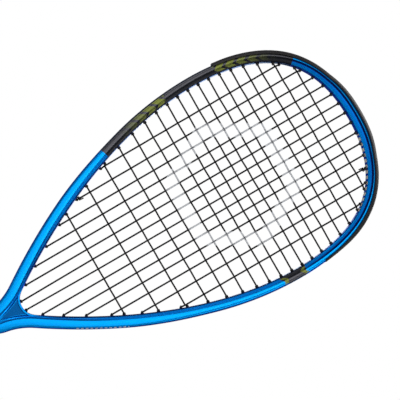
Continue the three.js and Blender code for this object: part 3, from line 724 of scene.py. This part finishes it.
def groove_run(start, end, y_start, y_end):
    """Points in the groove between two signed distances from the tip, without its ends."""
    count = max(3, int(abs(end - start) / 2.0))
    distances = np.linspace(start, end, count + 2)[1:-1]
    out = tube_size(distances)[0] - STRIP["top"] + LOOP_RISE
    y = np.linspace(y_start, y_end, count + 2)[1:-1]
    return list(place(distances, np.stack([out, y], axis=-1)[:, None])[:, 0])


def loop(a, b):
    return groove_run(a.side * a.s, b.side * b.s, a.y, b.y)


def loose_end(hole, neighbour):
    """A string end that runs on in the groove and stops short of the next hole."""
    here, there = hole.side * hole.s, neighbour.side * neighbour.s
    stop = there - math.copysign(LOOSE_END, there - here)
    return groove_run(here, stop, hole.y, hole.y)


def laced(runs, before, after):
    """One string through runs of [hole, crossings, hole], there and back, with loose ends in the groove."""
    points = []
    for k, (start, crossed, end) in enumerate(runs):
        if k % 2:
            start, crossed, end = end, crossed[::-1], start
        points += loop(arrived, start) if k else loose_end(start, before)[::-1]
        points += string_run(start, crossed, end)
        arrived = end
    return np.array(points + loose_end(arrived, after))


def main_line():
    runs = []
    for m in range(len(MAINS)):
        low, high = (hole_for[end, main_rank(m), main_side(m)] for end in ("bottom", "top"))
        runs.append([low, crossings("main", m), high])
    return laced(runs, hole_for["bottom", main_rank(1), -1], hole_for["bottom", main_rank(1), 1])


def cross_line():
    runs = []
    for c in range(len(CROSSES)):
        runs.append([hole_for["cross", c, 1], crossings("cross", c)[::-1], hole_for["cross", c, -1]])
    return laced(runs, hole_for["cross", 1, 1], hole_for["top", 4, 1])


def knot_line(hole):
    """A turn and a half round a main just inside its grommet, then a cut tail that stands off."""
    axis = unit(nearest_crossing(hole) - hole.bend)
    side, up = sides_of(axis)
    wound = np.linspace(0, 1, 60)[:, None]
    angle = 2 * math.pi * KNOT["turns"] * wound
    climb = KNOT["start"] + KNOT["pitch"] * KNOT["turns"] * wound
    coil = hole.bend + axis * climb + KNOT["radius"] * (side * np.cos(angle) + up * np.sin(angle))
    leaving = unit(coil[-1] - coil[-2])
    away = np.linspace(0.05, 1, 10)[:, None]
    return np.vstack([coil, coil[-1] + KNOT["tail"] * away * (leaving * 0.8 + axis * 0.5)])


def build_strings(nylon):
    for name, line in (("main_string", main_line()), ("cross_string", cross_line())):
        string = new_object(f"{name}_woven", [cord(soften(line, 1.0), STRING_RADIUS)])
        show(string, nylon, name, sharp=50)
    knots = {"main_string_knot": hole_for["bottom", 5, -1], "cross_string_knot": hole_for["top", 4, 1]}
    for name, hole in knots.items():
        knot = new_object(f"{name}_tied", [cord(knot_line(hole), KNOT["cord"])])
        show(knot, nylon, name, sharp=50)


# ------------ handle

PALLET = {"x": 13.2, "y": 12.0, "chamfer": 4.4}
PALLET_TOP = {"x": 10.6, "y": 11.3, "chamfer": 2.6}
CLEARANCE = 0.3
GRIP = {"thickness": 1.8, "pitch": 24.5, "joint": 0.5}
CAP_FLOOR = 4.2
COLLAR = {"wall": 1.3, "bend": 13, "ease": 2, "rib": 0.28, "rib_pitch": 3.1, "edge": 0.5, "edge_height": 0.9}
TAPE_THICKNESS = 0.4
STAPLE = {"wire": 0.7, "crown": 8.0, "tip": 10.6}


def octagon(size, by=0.0, radius=1.6, steps=5):
    """Octagon with rounded corners, grown outwards by a distance, as (points, 2)."""
    x, y = size["x"] + by, size["y"] + by
    cut = size["chamfer"] + by * (2 - math.sqrt(2))
    quarter = [(x, y - cut), (x - cut, y)]
    corners = quarter + [(-a, b) for a, b in reversed(quarter)]
    corners += [(-a, -b) for a, b in corners]
    return fillet(np.array([corners], float), [radius] * 8, steps)[0]


def level(outline, z):
    return np.column_stack([outline, np.full(len(outline), z)])


def cap_profile(top):
    """Growth of the butt cap over the pallets at each height, from the rounded foot to the top."""
    heights = np.concatenate([[0, 0.25, 0.7, 1.3, 2.2], np.linspace(3.4, top, 16)])
    foot = [(0, 2.4), (1.8, 4.15), (8, 4.0), (16, 2.6), (top, 2.1)]
    return [(z, float(size_at(foot, z))) for z in heights]


def build_cap(rubber):
    top = cad("butt_cap")[1][2]
    # The end face from its middle outwards: a raised disc, a sunken ring and a raised rim.
    end = [(-9.5, 0.9), (-6.6, 0.9), (-6.0, 0.35), (-3.4, 0.35), (-2.8, 0.9), (-0.2, 0.9), (0.6, 0.0)]
    outer = cap_profile(top - 0.5)
    rim_top = [(top - 0.12, outer[-1][1] - 0.15), (top, outer[-1][1] - 0.5), (top, CLEARANCE + 0.3)]
    cavity = [(top - 0.3, CLEARANCE), (CAP_FLOOR, CLEARANCE)]
    rings = [level(octagon(PALLET, grow, 2.4), z) for grow, z in end]
    rings += [level(octagon(PALLET, grow, 2.4), z) for z, grow in outer + rim_top]
    rings += [level(octagon(PALLET, grow, 1.0), z) for z, grow in cavity]
    cap = new_object("butt_cap_moulding", [loft(np.array(rings))])
    show(cap, rubber, "butt_cap")


def grip_strip(bottom, top):
    """Rings of the wound strip: a padded section with pressed edges that climbs round the octagon."""
    inner = octagon(PALLET, CLEARANCE, 1.6, 6)
    outer = octagon(PALLET, CLEARANCE + 1, 1.6 + 0.6, 6)
    length = running_length(np.vstack([inner, inner[:1]]))
    turn_share = length[:-1] / length[-1]
    thick, wide = GRIP["thickness"], GRIP["pitch"] - GRIP["joint"]
    half = [(0, 0, 0.1), (thick * 0.55, 0, 0.35), (thick * 0.8, 1.1, 0.8), (thick, 2.4, 1.6)]
    profile = [(out, v) for out, v, _ in half] + [(out, wide - v) for out, v, _ in reversed(half)]
    radii = [radius for *_, radius in half] + [radius for *_, radius in reversed(half)]
    strip = fillet(np.array([profile], float), radii, 4)[0]
    turns = math.ceil((top - bottom) / GRIP["pitch"]) + 1
    rings = []
    for turn in range(turns):
        for share, low, high in zip(turn_share, inner, outer):
            flat = low + (high - low) * strip[:, :1]
            z = bottom - GRIP["pitch"] + GRIP["pitch"] * (turn + share) + strip[:, 1]
            rings.append(np.column_stack([flat, z]))
    return np.array(rings)


def slab(half, bottom, top):
    square = np.array([(half, half), (-half, half), (-half, -half), (half, -half)], float)
    return loft(np.array([level(square, bottom), level(square, top)]))


def build_grip(leather):
    (_, _, bottom), (_, _, top) = cad("grip_wrap")
    grip = new_object("grip_strip_wound", [loft(grip_strip(bottom, top))])
    beyond_grip = 25
    combine(grip, "INTERSECT", [slab(beyond_grip, bottom, top)])
    show(grip, leather, "grip_wrap")


def build_collar(rubber):
    (_, _, bottom), (_, _, top) = cad("grip_collar")
    shoulder_start = bottom + COLLAR["bend"] - COLLAR["ease"]
    base = GRIP["thickness"] + TAPE_THICKNESS + 3 * CLEARANCE
    heights = np.linspace(bottom, top, 80)
    shoulder = smooth((heights - shoulder_start) / (top - shoulder_start))
    ribs = COLLAR["rib"] * (1 + np.cos(2 * math.pi * (heights - bottom) / COLLAR["rib_pitch"]))
    full = np.minimum(1, np.minimum(heights - bottom, top - heights) / COLLAR["edge_height"])
    outside = COLLAR["wall"] - CLEARANCE + (ribs + COLLAR["edge"]) * full - COLLAR["edge"]

    def ring(share, by, z):
        wide, narrow = octagon(PALLET, base + by, 2.2), octagon(PALLET_TOP, 2 * CLEARANCE + by, 1.6)
        return level(mix(wide, narrow, share), z)

    skin = [ring(share, by, z) for share, by, z in zip(shoulder, outside, heights)]
    lining = [ring(share, 0, z) for share, z in zip(shoulder[::-4], heights[::-4])]
    collar = new_object("grip_collar_ribbed", [loft(np.array(skin + lining), closed=True)])
    show(collar, rubber, "grip_collar")


def build_staples(steel):
    for side, label in ((-1, "left"), (1, "right")):
        for k in (1, 2):
            node = f"cap_staple_{label}_{k}"
            low, high = cad(node)
            z = (low[2] + high[2]) / 2
            crown = max(abs(low[0]), abs(high[0])) - STAPLE["wire"] / 2
            half = (STAPLE["crown"] - STAPLE["wire"]) / 2
            corners = [(STAPLE["tip"], -half), (crown, -half), (crown, half), (STAPLE["tip"], half)]
            path = soften(np.array([(side * x, y, z) for x, y in corners]), 0.8)
            wire = new_object(f"{node}_wire", [cord(path, STAPLE["wire"] / 2, sides=14, up=(0, 0, 1))])
            show(wire, steel, node, sharp=50)


# ------------ materials: nodes written as arithmetic


def rgb(red, green, blue):
    """Colour from 0..255 display values."""
    linear = [((v / 255 + 0.055) / 1.055) ** 2.4 if v > 10 else v / 255 / 12.92 for v in (red, green, blue)]
    return (*linear, 1.0)


# deep_blue, navy and black serve as painted shade on the frame, not as colours of its paint.
PAINT = {
    "blue": rgb(0, 152, 232),
    "royal_blue": rgb(0, 120, 218),
    "deep_blue": rgb(0, 60, 196),
    "navy": rgb(2, 22, 84),
    "charcoal": rgb(70, 69, 72),
    "pale_charcoal": rgb(82, 81, 85),
    "black": rgb(8, 8, 9),
    "lime": rgb(118, 128, 34),
    "pale_lime": rgb(146, 152, 66),
    "cream": rgb(226, 216, 196),
}


def connect(tree, slot, value):
    if isinstance(value, Field):
        tree.links.new(value.socket, slot)
    elif isinstance(value, bpy.types.NodeSocket):
        tree.links.new(value, slot)
    else:
        slot.default_value = value


def new_node(tree, kind, inputs=None, **settings):
    """Outputs of a new shader node, with its settings made and its inputs connected or filled in."""
    node = tree.nodes.new(f"ShaderNode{kind}")
    for name, value in settings.items():
        setattr(node, name, value)
    for key, value in (inputs or {}).items():
        connect(tree, node.inputs[key], value)
    return node.outputs


def new_field(tree, kind, output, inputs=None, **settings):
    """One output of a new shader node, as a field."""
    return Field(tree, new_node(tree, kind, inputs, **settings)[output])


class Field:
    """A number worked out in a material's nodes."""

    def __init__(self, tree, socket):
        self.tree, self.socket = tree, socket

    def math(self, operation, *others):
        return new_field(self.tree, "Math", 0, dict(enumerate((self, *others))), operation=operation)

    __add__ = __radd__ = partialmethod(math, "ADD")
    __mul__ = __rmul__ = partialmethod(math, "MULTIPLY")
    __sub__ = partialmethod(math, "SUBTRACT")
    __truediv__ = partialmethod(math, "DIVIDE")
    __abs__ = partialmethod(math, "ABSOLUTE")

    def __rsub__(self, other):
        return self * -1 + other

    def rise(self, start, end):
        """0 at start, 1 at end, eased in between."""
        values = {"Value": self, "From Min": start, "From Max": end}
        return new_field(self.tree, "MapRange", "Result", values, interpolation_type="SMOOTHSTEP")

    def between(self, low, high, soft):
        """1 between two values, 0 outside them."""
        return self.rise(low - soft, low + soft) * (1 - self.rise(high - soft, high + soft))

    def wrap(self, period):
        """Share of the way through each period."""
        return (self / period).math("FRACT")


class Finish:
    """A material with its Principled shader, and the fields and helpers that its pattern is made of."""

    def __init__(self, name, **values):
        self.material = bpy.data.materials.new(name)
        self.material.use_nodes = True
        self.tree = self.material.node_tree
        self.shader = self.tree.nodes["Principled BSDF"]
        self.coordinates = new_node(self.tree, "TexCoord")["Object"]
        self.set(**values)

    def set(self, **values):
        for name, value in values.items():
            label = name.replace("_", " ").title().replace("Ior", "IOR")
            connect(self.tree, self.shader.inputs[label], value)
        return self

    def attribute(self, name):
        return new_field(self.tree, "Attribute", "Fac", attribute_name=name)

    def position(self):
        """x, y and z of the surface point, in millimetres."""
        axes = new_node(self.tree, "SeparateXYZ", {0: self.coordinates})
        return [Field(self.tree, axis) / MM for axis in axes]

    def noise(self, size, detail):
        """Noise with features of about a size in millimetres."""
        values = {"Vector": self.coordinates, "Scale": 1 / (size * MM), "Detail": detail}
        return new_field(self.tree, "TexNoise", "Fac", values)

    def facing(self):
        """0 where the surface faces the eye, 1 at its outline."""
        return new_field(self.tree, "LayerWeight", "Facing", {"Blend": 0.5})

    def blend(self, share, a, b):
        """Colour a that turns into colour b with a share; 6, 7 and 2 are the mix node's colour sockets."""
        return new_node(self.tree, "Mix", {"Factor": share, 6: a, 7: b}, data_type="RGBA")[2]

    def bump(self, height, depth, strength):
        """Surface relief from a height field, in millimetres at height 1."""
        values = {"Height": height, "Distance": depth * MM, "Strength": strength}
        return self.set(normal=new_node(self.tree, "Bump", values)[0])


# ------------ materials


LONG_PANEL_Z = (460.5, 649.5)
SHORT_PANEL_Z = (538.5, 567)
# Runs of chevrons, by height: where a run starts and ends, and where it has faded out and is at its fullest.
UPPER_RUN = {"start": 583.5, "end": 642, "faint": 641, "full": 596, "pitch": 10.5, "duty": 0.72}
LOWER_RUN = {"start": 533, "end": 474, "faint": 478, "full": 528, "pitch": 11.0, "duty": 0.74}
ARROW = {"inset": 4.2, "slant": 1.2, "half_width": 1.8}


def tube_fields(f):
    """Places on the frame that the layers of its paint and its painted shade share."""
    t = SimpleNamespace()
    t.along, t.out, t.crease, t.share = (f.attribute(name) for name in ("along", "out", "crease", "share"))
    x, t.y, t.z = f.position()
    t.left, t.right = x.rise(0.5, -0.5), x.rise(-0.5, 0.5)
    on_tube = t.share.rise(0.1, 0.2) * abs(t.y).rise(6.5, 7.5) * t.z.rise(232, 262)
    # Masks for painted shade: a dark line in the crease, the inward-facing facet and a band along the inner
    # edge.
    t.crease_line = (1 - (abs(t.crease) - t.z.rise(540, 640) * 0.4).rise(0.4, 1.0)) * on_tube
    t.inner_facet = (1 - t.crease.rise(-0.5, 0.5)) * on_tube
    t.inner_edge = 1 - t.share.rise(0.1, 0.2)
    t.in_hollow = 1 - t.out.rise(-0.6, -0.15)
    t.tip_end, t.throat_end = t.along - t.out * 0.25, t.along + t.out * 0.9
    return t


def blue_paint_and_shade(f, t):
    """Blue paint, with painted shade at its outline, inward facet, inner edge, recessed web and crease."""
    # Painted shade: deeper blue towards the outline, where the surface turns away from the eye.
    blue = f.blend(f.facing().rise(0.1, 0.8), PAINT["blue"], PAINT["deep_blue"])
    blue = f.blend(f.noise(14, 3) * 0.15, blue, PAINT["royal_blue"])
    # Painted shade: the inward-facing facet deepened to a darker blue.
    blue = f.blend(t.inner_facet * 0.5, blue, PAINT["deep_blue"])
    # Painted shade in navy along the inner edge, over the recessed web and in the crease, the crease darkest
    # towards the tip and at the throat.
    edge = t.inner_edge * (1 - t.in_hollow) * t.z.rise(336, 350) * (1 - t.z.rise(550, 620))
    recess_shade_mask = t.in_hollow * (1 - abs(t.y).rise(5.2, 5.6))
    crease_shade_strength = mix(0.3, 1.0, t.z.rise(510, 600)) + (1 - t.z.rise(360, 400)) * 0.4
    for share in (edge * 0.8, recess_shade_mask * 0.8, t.crease_line * crease_shade_strength):
        blue = f.blend(share, blue, PAINT["navy"])
    return blue


def charcoal_paint_and_shade(f, t):
    charcoal = f.blend(f.noise(9, 2), PAINT["charcoal"], PAINT["pale_charcoal"])
    # Painted shade in black along the inner edge, on the inward-facing facet and in the crease.
    for share in (t.inner_edge * 0.7, t.inner_facet * 0.55, t.crease_line * 0.85):
        charcoal = f.blend(share, charcoal, PAINT["black"])
    return charcoal


def panels(t):
    """Where the charcoal lies: a long panel on the left and a short one with slanted ends on the right."""
    long_panel = t.along.between(distance_at(LONG_PANEL_Z[1]), distance_at(LONG_PANEL_Z[0]), 0.2) * t.left
    lower, upper = (distance_at(z) for z in SHORT_PANEL_Z)
    short_panel = t.tip_end.rise(upper, upper + 0.3) * (1 - t.throat_end.rise(lower - 0.3, lower)) * t.right
    return long_panel.math("MAXIMUM", short_panel) * (1 - t.in_hollow)


def chevrons(t, run):
    """Bands that meet in points on the crease, slanting more on the inner facet than on the outer one."""
    slant = mix(1.5, 1.05, t.crease.rise(-0.1, 0.1))
    start, end, faint, full = (distance_at(run[name]) for name in ("start", "end", "faint", "full"))
    distance = start - t.along if end < start else t.along - start
    bands = (distance - abs(t.crease) * slant).wrap(run["pitch"]).between(0.05, run["duty"], 0.03)
    return bands * t.along.between(min(start, end), max(start, end), 0.1) * t.along.rise(faint, full)


def panel_marks(t):
    """Two runs of chevrons on the long panel, and an arrow at each end of the short one."""
    lower, upper = (distance_at(z) for z in SHORT_PANEL_Z)
    point, half = ARROW["inset"] - abs(t.crease) * ARROW["slant"], ARROW["half_width"]
    arrow_tip = (t.tip_end - upper - point).between(-half, half, 0.1)
    arrow_throat = (t.throat_end - lower + point).between(-half, half, 0.1)
    runs = chevrons(t, UPPER_RUN) + chevrons(t, LOWER_RUN)
    marks = runs * t.left * 0.85 + (arrow_tip + arrow_throat) * t.right * 0.8
    # The marks are dimmed in the crease as painted shade.
    return marks * (1 - t.crease_line * 0.5) * t.share.between(0.16, 0.84, 0.02) * abs(t.y).rise(5.0, 6.0)


def dash_row(t, pitch, dash, start, end):
    return t.along.wrap(pitch).between(*dash) * t.along.between(start, end, 0.2)


def dashes(t):
    """Rows of plain dashes: on the inner wall at the tip and the long panel, and on the right arm."""
    on_wall = (1 - abs(t.y).rise(5.6, 5.9)) * (1 - t.share.rise(0.05, 0.12)) * t.share.rise(-0.2, -0.05)
    on_shoulder = t.share.between(0.88, 0.94, 0.01) * t.y.rise(0.5, -0.5) * t.right
    tip = dash_row(t, 5.2, (0.08, 0.66, 0.03), 18, 92) * t.right
    panel = dash_row(t, 3.6, (0.1, 0.6, 0.04), distance_at(532), distance_at(492)) * t.left
    arm = dash_row(t, 4.2, (0.1, 0.66, 0.04), distance_at(404), distance_at(362))
    return on_wall * (tip + panel * 0.8) + on_shoulder * arm * 0.8


def frame_paint():
    """Metallic blue lacquer with charcoal panels, chevrons, rows of plain dashes and painted shade."""
    f = Finish("frame_lacquer", coat_weight=0.02, coat_roughness=0.1, specular_tint=rgb(120, 172, 232))
    t = tube_fields(f)
    marks, prints = panel_marks(t), dashes(t)
    paint = f.blend(panels(t), blue_paint_and_shade(f, t), charcoal_paint_and_shade(f, t))
    paint = f.blend(marks, paint, f.blend(f.noise(3, 2), PAINT["lime"], PAINT["pale_lime"]))
    paint = f.blend(prints, paint, PAINT["cream"])
    metallic = 0.9 - marks * 0.3 - prints * 0.9
    return f.set(base_color=paint, metallic=metallic, roughness=0.38 + marks * 0.1).material


def grained(name, grain, shades, roughness, relief, cloud=None, worn=None, **values):
    """One-colour material. Grain roughens and dents it, and shifts its shade unless a cloud or wear does."""
    f = Finish(name, **values)
    height = f.noise(*grain)
    shift = f.noise(*cloud) if cloud else height
    if worn:
        shift = shift.rise(*worn) * 0.5
    f.set(base_color=f.blend(shift, *shades), roughness=roughness[0] + height * roughness[1])
    return f.bump(height, *relief).material


def grommet_nylon():
    """Matt moulded plastic with the fine grain of a spark-eroded mould."""
    colour = rgb(11, 11, 12)
    lighter = tuple(c * 1.9 + 0.004 for c in colour[:3]) + (1,)
    wear = {"cloud": (6, 3), "worn": (0.45, 0.75), "specular_ior_level": 0.25}
    return grained("grommet_nylon", (0.35, 3), (colour, lighter), (0.5, 0.14), (0.03, 0.5), **wear)


def cap_rubber():
    shades = rgb(22, 23, 25), rgb(44, 45, 48)
    wear = {"cloud": (7, 3), "worn": (0.4, 0.8), "specular_ior_level": 0.4}
    return grained("butt_cap_rubber", (0.5, 3), shades, (0.5, 0.16), (0.05, 0.6), **wear)


def collar_rubber():
    shades = rgb(20, 21, 23), rgb(32, 33, 36)
    looks = {"cloud": (5, 2), "specular_ior_level": 0.3}
    return grained("collar_rubber", (0.6, 3), shades, (0.66, 0.16), (0.05, 0.6), **looks)


def bumper_nylon():
    """Satin black nylon with pale scratches, painted paler at its outline as a painted sheen."""
    f = Finish("bumper_nylon", specular_ior_level=0.4)
    grain = f.noise(0.4, 3)
    scratches = f.noise(1.6, 4).rise(0.52, 0.7)
    # Painted sheen: paler towards the outline, where the surface turns away from the eye.
    edge = f.facing().rise(0.55, 0.95)
    body = f.blend(edge * 0.6, rgb(17, 12, 11), rgb(48, 43, 43))
    f.set(base_color=f.blend(scratches * 0.15, body, rgb(84, 82, 82)), roughness=0.45 + grain * 0.16)
    return f.bump(grain, 0.04, 0.5).material


def string_nylon():
    """Twisted dark multifilament with a plain pale stencil ring printed on the bed."""
    f = Finish("string_multifilament", specular_ior_level=0.22)
    x, y, z = f.position()
    ridge = abs((x + z + y * 2).wrap(0.9) - 0.5)
    base = f.blend(f.noise(5, 2), rgb(7, 5, 5), rgb(13, 10, 11))
    centre, radius, band = 548.0, 50.0, 6.5
    up = abs(z - centre)
    hexagon = (abs(x) * 0.866 + up * 0.5).math("MAXIMUM", up)
    ring = 1 - abs(hexagon - radius).rise(band - 0.3, band + 0.3)
    in_bed = (1 - abs(y).rise(1.4, 1.5)) * y.rise(0.35, 0.1)
    speckle = f.noise(1.1, 3).rise(0.25, 0.5)
    stencil = ring * in_bed * (0.8 + speckle * 0.18)
    f.set(base_color=f.blend(stencil, base, rgb(206, 207, 210)), roughness=0.5 + stencil * 0.2)
    return f.bump(ridge, 0.05, 0.35).material


def grip_leather():
    """Soft synthetic leather: fine grain and rows of small punched holes along the strip."""
    f = Finish("grip_leather", specular_ior_level=0.35, sheen_weight=0.15, sheen_roughness=0.5)
    x, y, z = f.position()
    angle = y.math("ARCTAN2", x) / (2 * math.pi)
    (_, _, bottom), _ = cad("grip_wrap")
    climb = (z - bottom) / GRIP["pitch"] - angle + 2
    across = climb.math("FRACT") * GRIP["pitch"]
    girth, column_gap, row_gap, first_row, last_row = 92, 4.6, 3.9, 4.4, 20.1
    row = (across - first_row) / row_gap
    column = angle * girth / column_gap + (row.math("FLOOR") * 0.5)
    dx, dy = (column.math("FRACT") - 0.5) * column_gap, (row.math("FRACT") - 0.5) * row_gap
    distance = (dx * dx + dy * dy).math("SQRT")
    punched = (1 - distance.rise(0.32, 0.48)) * across.between(first_row, last_row, 0.05)
    grain = f.noise(0.9, 4)
    pores = f.noise(0.3, 2)
    shade = f.blend(f.noise(18, 3), rgb(28, 29, 31), rgb(40, 41, 44))
    # The punched holes are painted near-black as painted shade inside them.
    f.set(base_color=f.blend(punched, shade, rgb(4, 4, 4)), roughness=0.62 + grain * 0.2)
    height = grain * 0.6 + pores * 0.2 - punched * 2.0
    return f.bump(height, 0.12, 0.8).material


def bright_steel():
    shades = rgb(168, 170, 174), rgb(206, 208, 210)
    return grained("staple_steel", (0.4, 3), shades, (0.22, 0.12), (0.01, 0.4), metallic=1.0)


def pallet_foam():
    shades = rgb(206, 196, 160), rgb(226, 218, 188)
    return grained("pallet_foam", (1.4, 4), shades, (0.8, 0.15), (0.15, 0.7), specular_ior_level=0.2)


def finishing_tape():
    shades = rgb(14, 15, 17), rgb(26, 27, 30)
    return grained("finishing_tape", (2.2, 3), shades, (0.4, 0.2), (0.06, 0.5), specular_ior_level=0.5)


def balance_silicone():
    shades = rgb(140, 150, 156), rgb(166, 174, 178)
    looks = {"specular_ior_level": 0.5, "subsurface_weight": 0.15}
    return grained("balance_silicone", (3, 3), shades, (0.5, 0.12), (0.06, 0.5), **looks)


# ------------ studio


def softbox(name, location, target, size, power):
    light = bpy.data.lights.new(name, "AREA")
    light.shape, light.size, light.size_y = "RECTANGLE", size[0], size[1]
    light.energy = power
    obj = add_object(name, light)
    obj.location = location
    obj.rotation_euler = (Vector(target) - Vector(location)).to_track_quat("-Z", "Y").to_euler()


def build_floor():
    disc = turned((0, 0, 0), (0, 0, -1), [(0, 560), (0.4, 566), (3.0, 568), (12, 568)], sides=128)
    floor = new_object("floor", [disc])
    f = Finish("floor_paint", roughness=0.75)
    cloud = f.noise(60, 3)
    f.set(base_color=f.blend(cloud, rgb(232, 232, 230), rgb(238, 238, 237)))
    floor.data.materials.append(f.material)
    shade(floor, 30)


def build_world():
    """White behind the object, and softer grey light from all round it."""
    world = bpy.data.worlds.new("studio")
    bpy.context.scene.world = world
    world.use_nodes = True
    tree = world.node_tree
    shown = tree.nodes["Background"]
    shown.inputs["Color"].default_value = (1, 1, 1, 1)
    lighting = new_node(tree, "Background", {"Color": (0.86, 0.92, 1.0, 1), "Strength": 0.22})[0]
    seen = new_node(tree, "LightPath")["Is Camera Ray"]
    mixed = new_node(tree, "MixShader", {0: seen, 1: lighting, 2: shown.outputs[0]})[0]
    connect(tree, tree.nodes["World Output"].inputs[0], mixed)


def build_lights():
    head = (0, 0, 0.5)
    softbox("front_box", (-0.15, -1.7, 0.72), head, (1.9, 1.4), 13.5)
    softbox("glint_box", (0.3, -1.7, 0.76), head, (0.3, 0.35), 1.5)
    softbox("left_box", (-1.5, -0.3, 0.8), head, (0.4, 1.2), 6)
    softbox("right_box", (1.5, -0.4, 0.6), head, (0.4, 1.2), 6)
    softbox("top_box", (0.1, 0.3, 1.9), head, (0.8, 0.8), 10)
    softbox("rear_box", (0.3, 1.6, 1.15), head, (1.3, 0.9), 15)


CAMERA = {"eye": (0.0001, -1.65, 0.3408), "target": (-0.0028, 0, 0.514), "lens": 162.3, "roll": 30.1}


def build_camera():
    """Camera rolled so that the racket's axis rises to the right across the picture."""
    eye, target = Vector(CAMERA["eye"]), Vector(CAMERA["target"])
    back = (eye - target).normalized()
    axis = (Vector((0, 0, 1)) - back * back.z).normalized()
    across = back.cross(axis)
    roll = math.radians(CAMERA["roll"])
    right = axis * math.cos(roll) - across * math.sin(roll)
    up = back.cross(right)
    data = bpy.data.cameras.new("camera")
    data.lens, data.sensor_width = CAMERA["lens"], 36.0
    camera = add_object("camera", data)
    camera.matrix_world = Matrix.Translation(eye) @ Matrix((right, up, back)).transposed().to_4x4()
    bpy.context.scene.camera = camera


# ------------ assembly

show(build_frame(), frame_paint(), "frame")
build_grommets(grommet_nylon(), bumper_nylon())
build_strings(string_nylon())
build_cap(cap_rubber())
build_grip(grip_leather())
build_collar(collar_rubber())
build_staples(bright_steel())

# The pieces inside the handle keep their CAD shape.
foam, silicone = pallet_foam(), balance_silicone()
for label in ("left", "right"):
    coat(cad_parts[f"handle_pallet_{label}"], foam)
    coat(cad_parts[f"balance_plug_{label}"], silicone)
coat(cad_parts["finishing_tape"], finishing_tape())

build_floor()
build_world()
build_lights()
build_camera()
bpy.context.scene.view_settings.view_transform = "Standard"
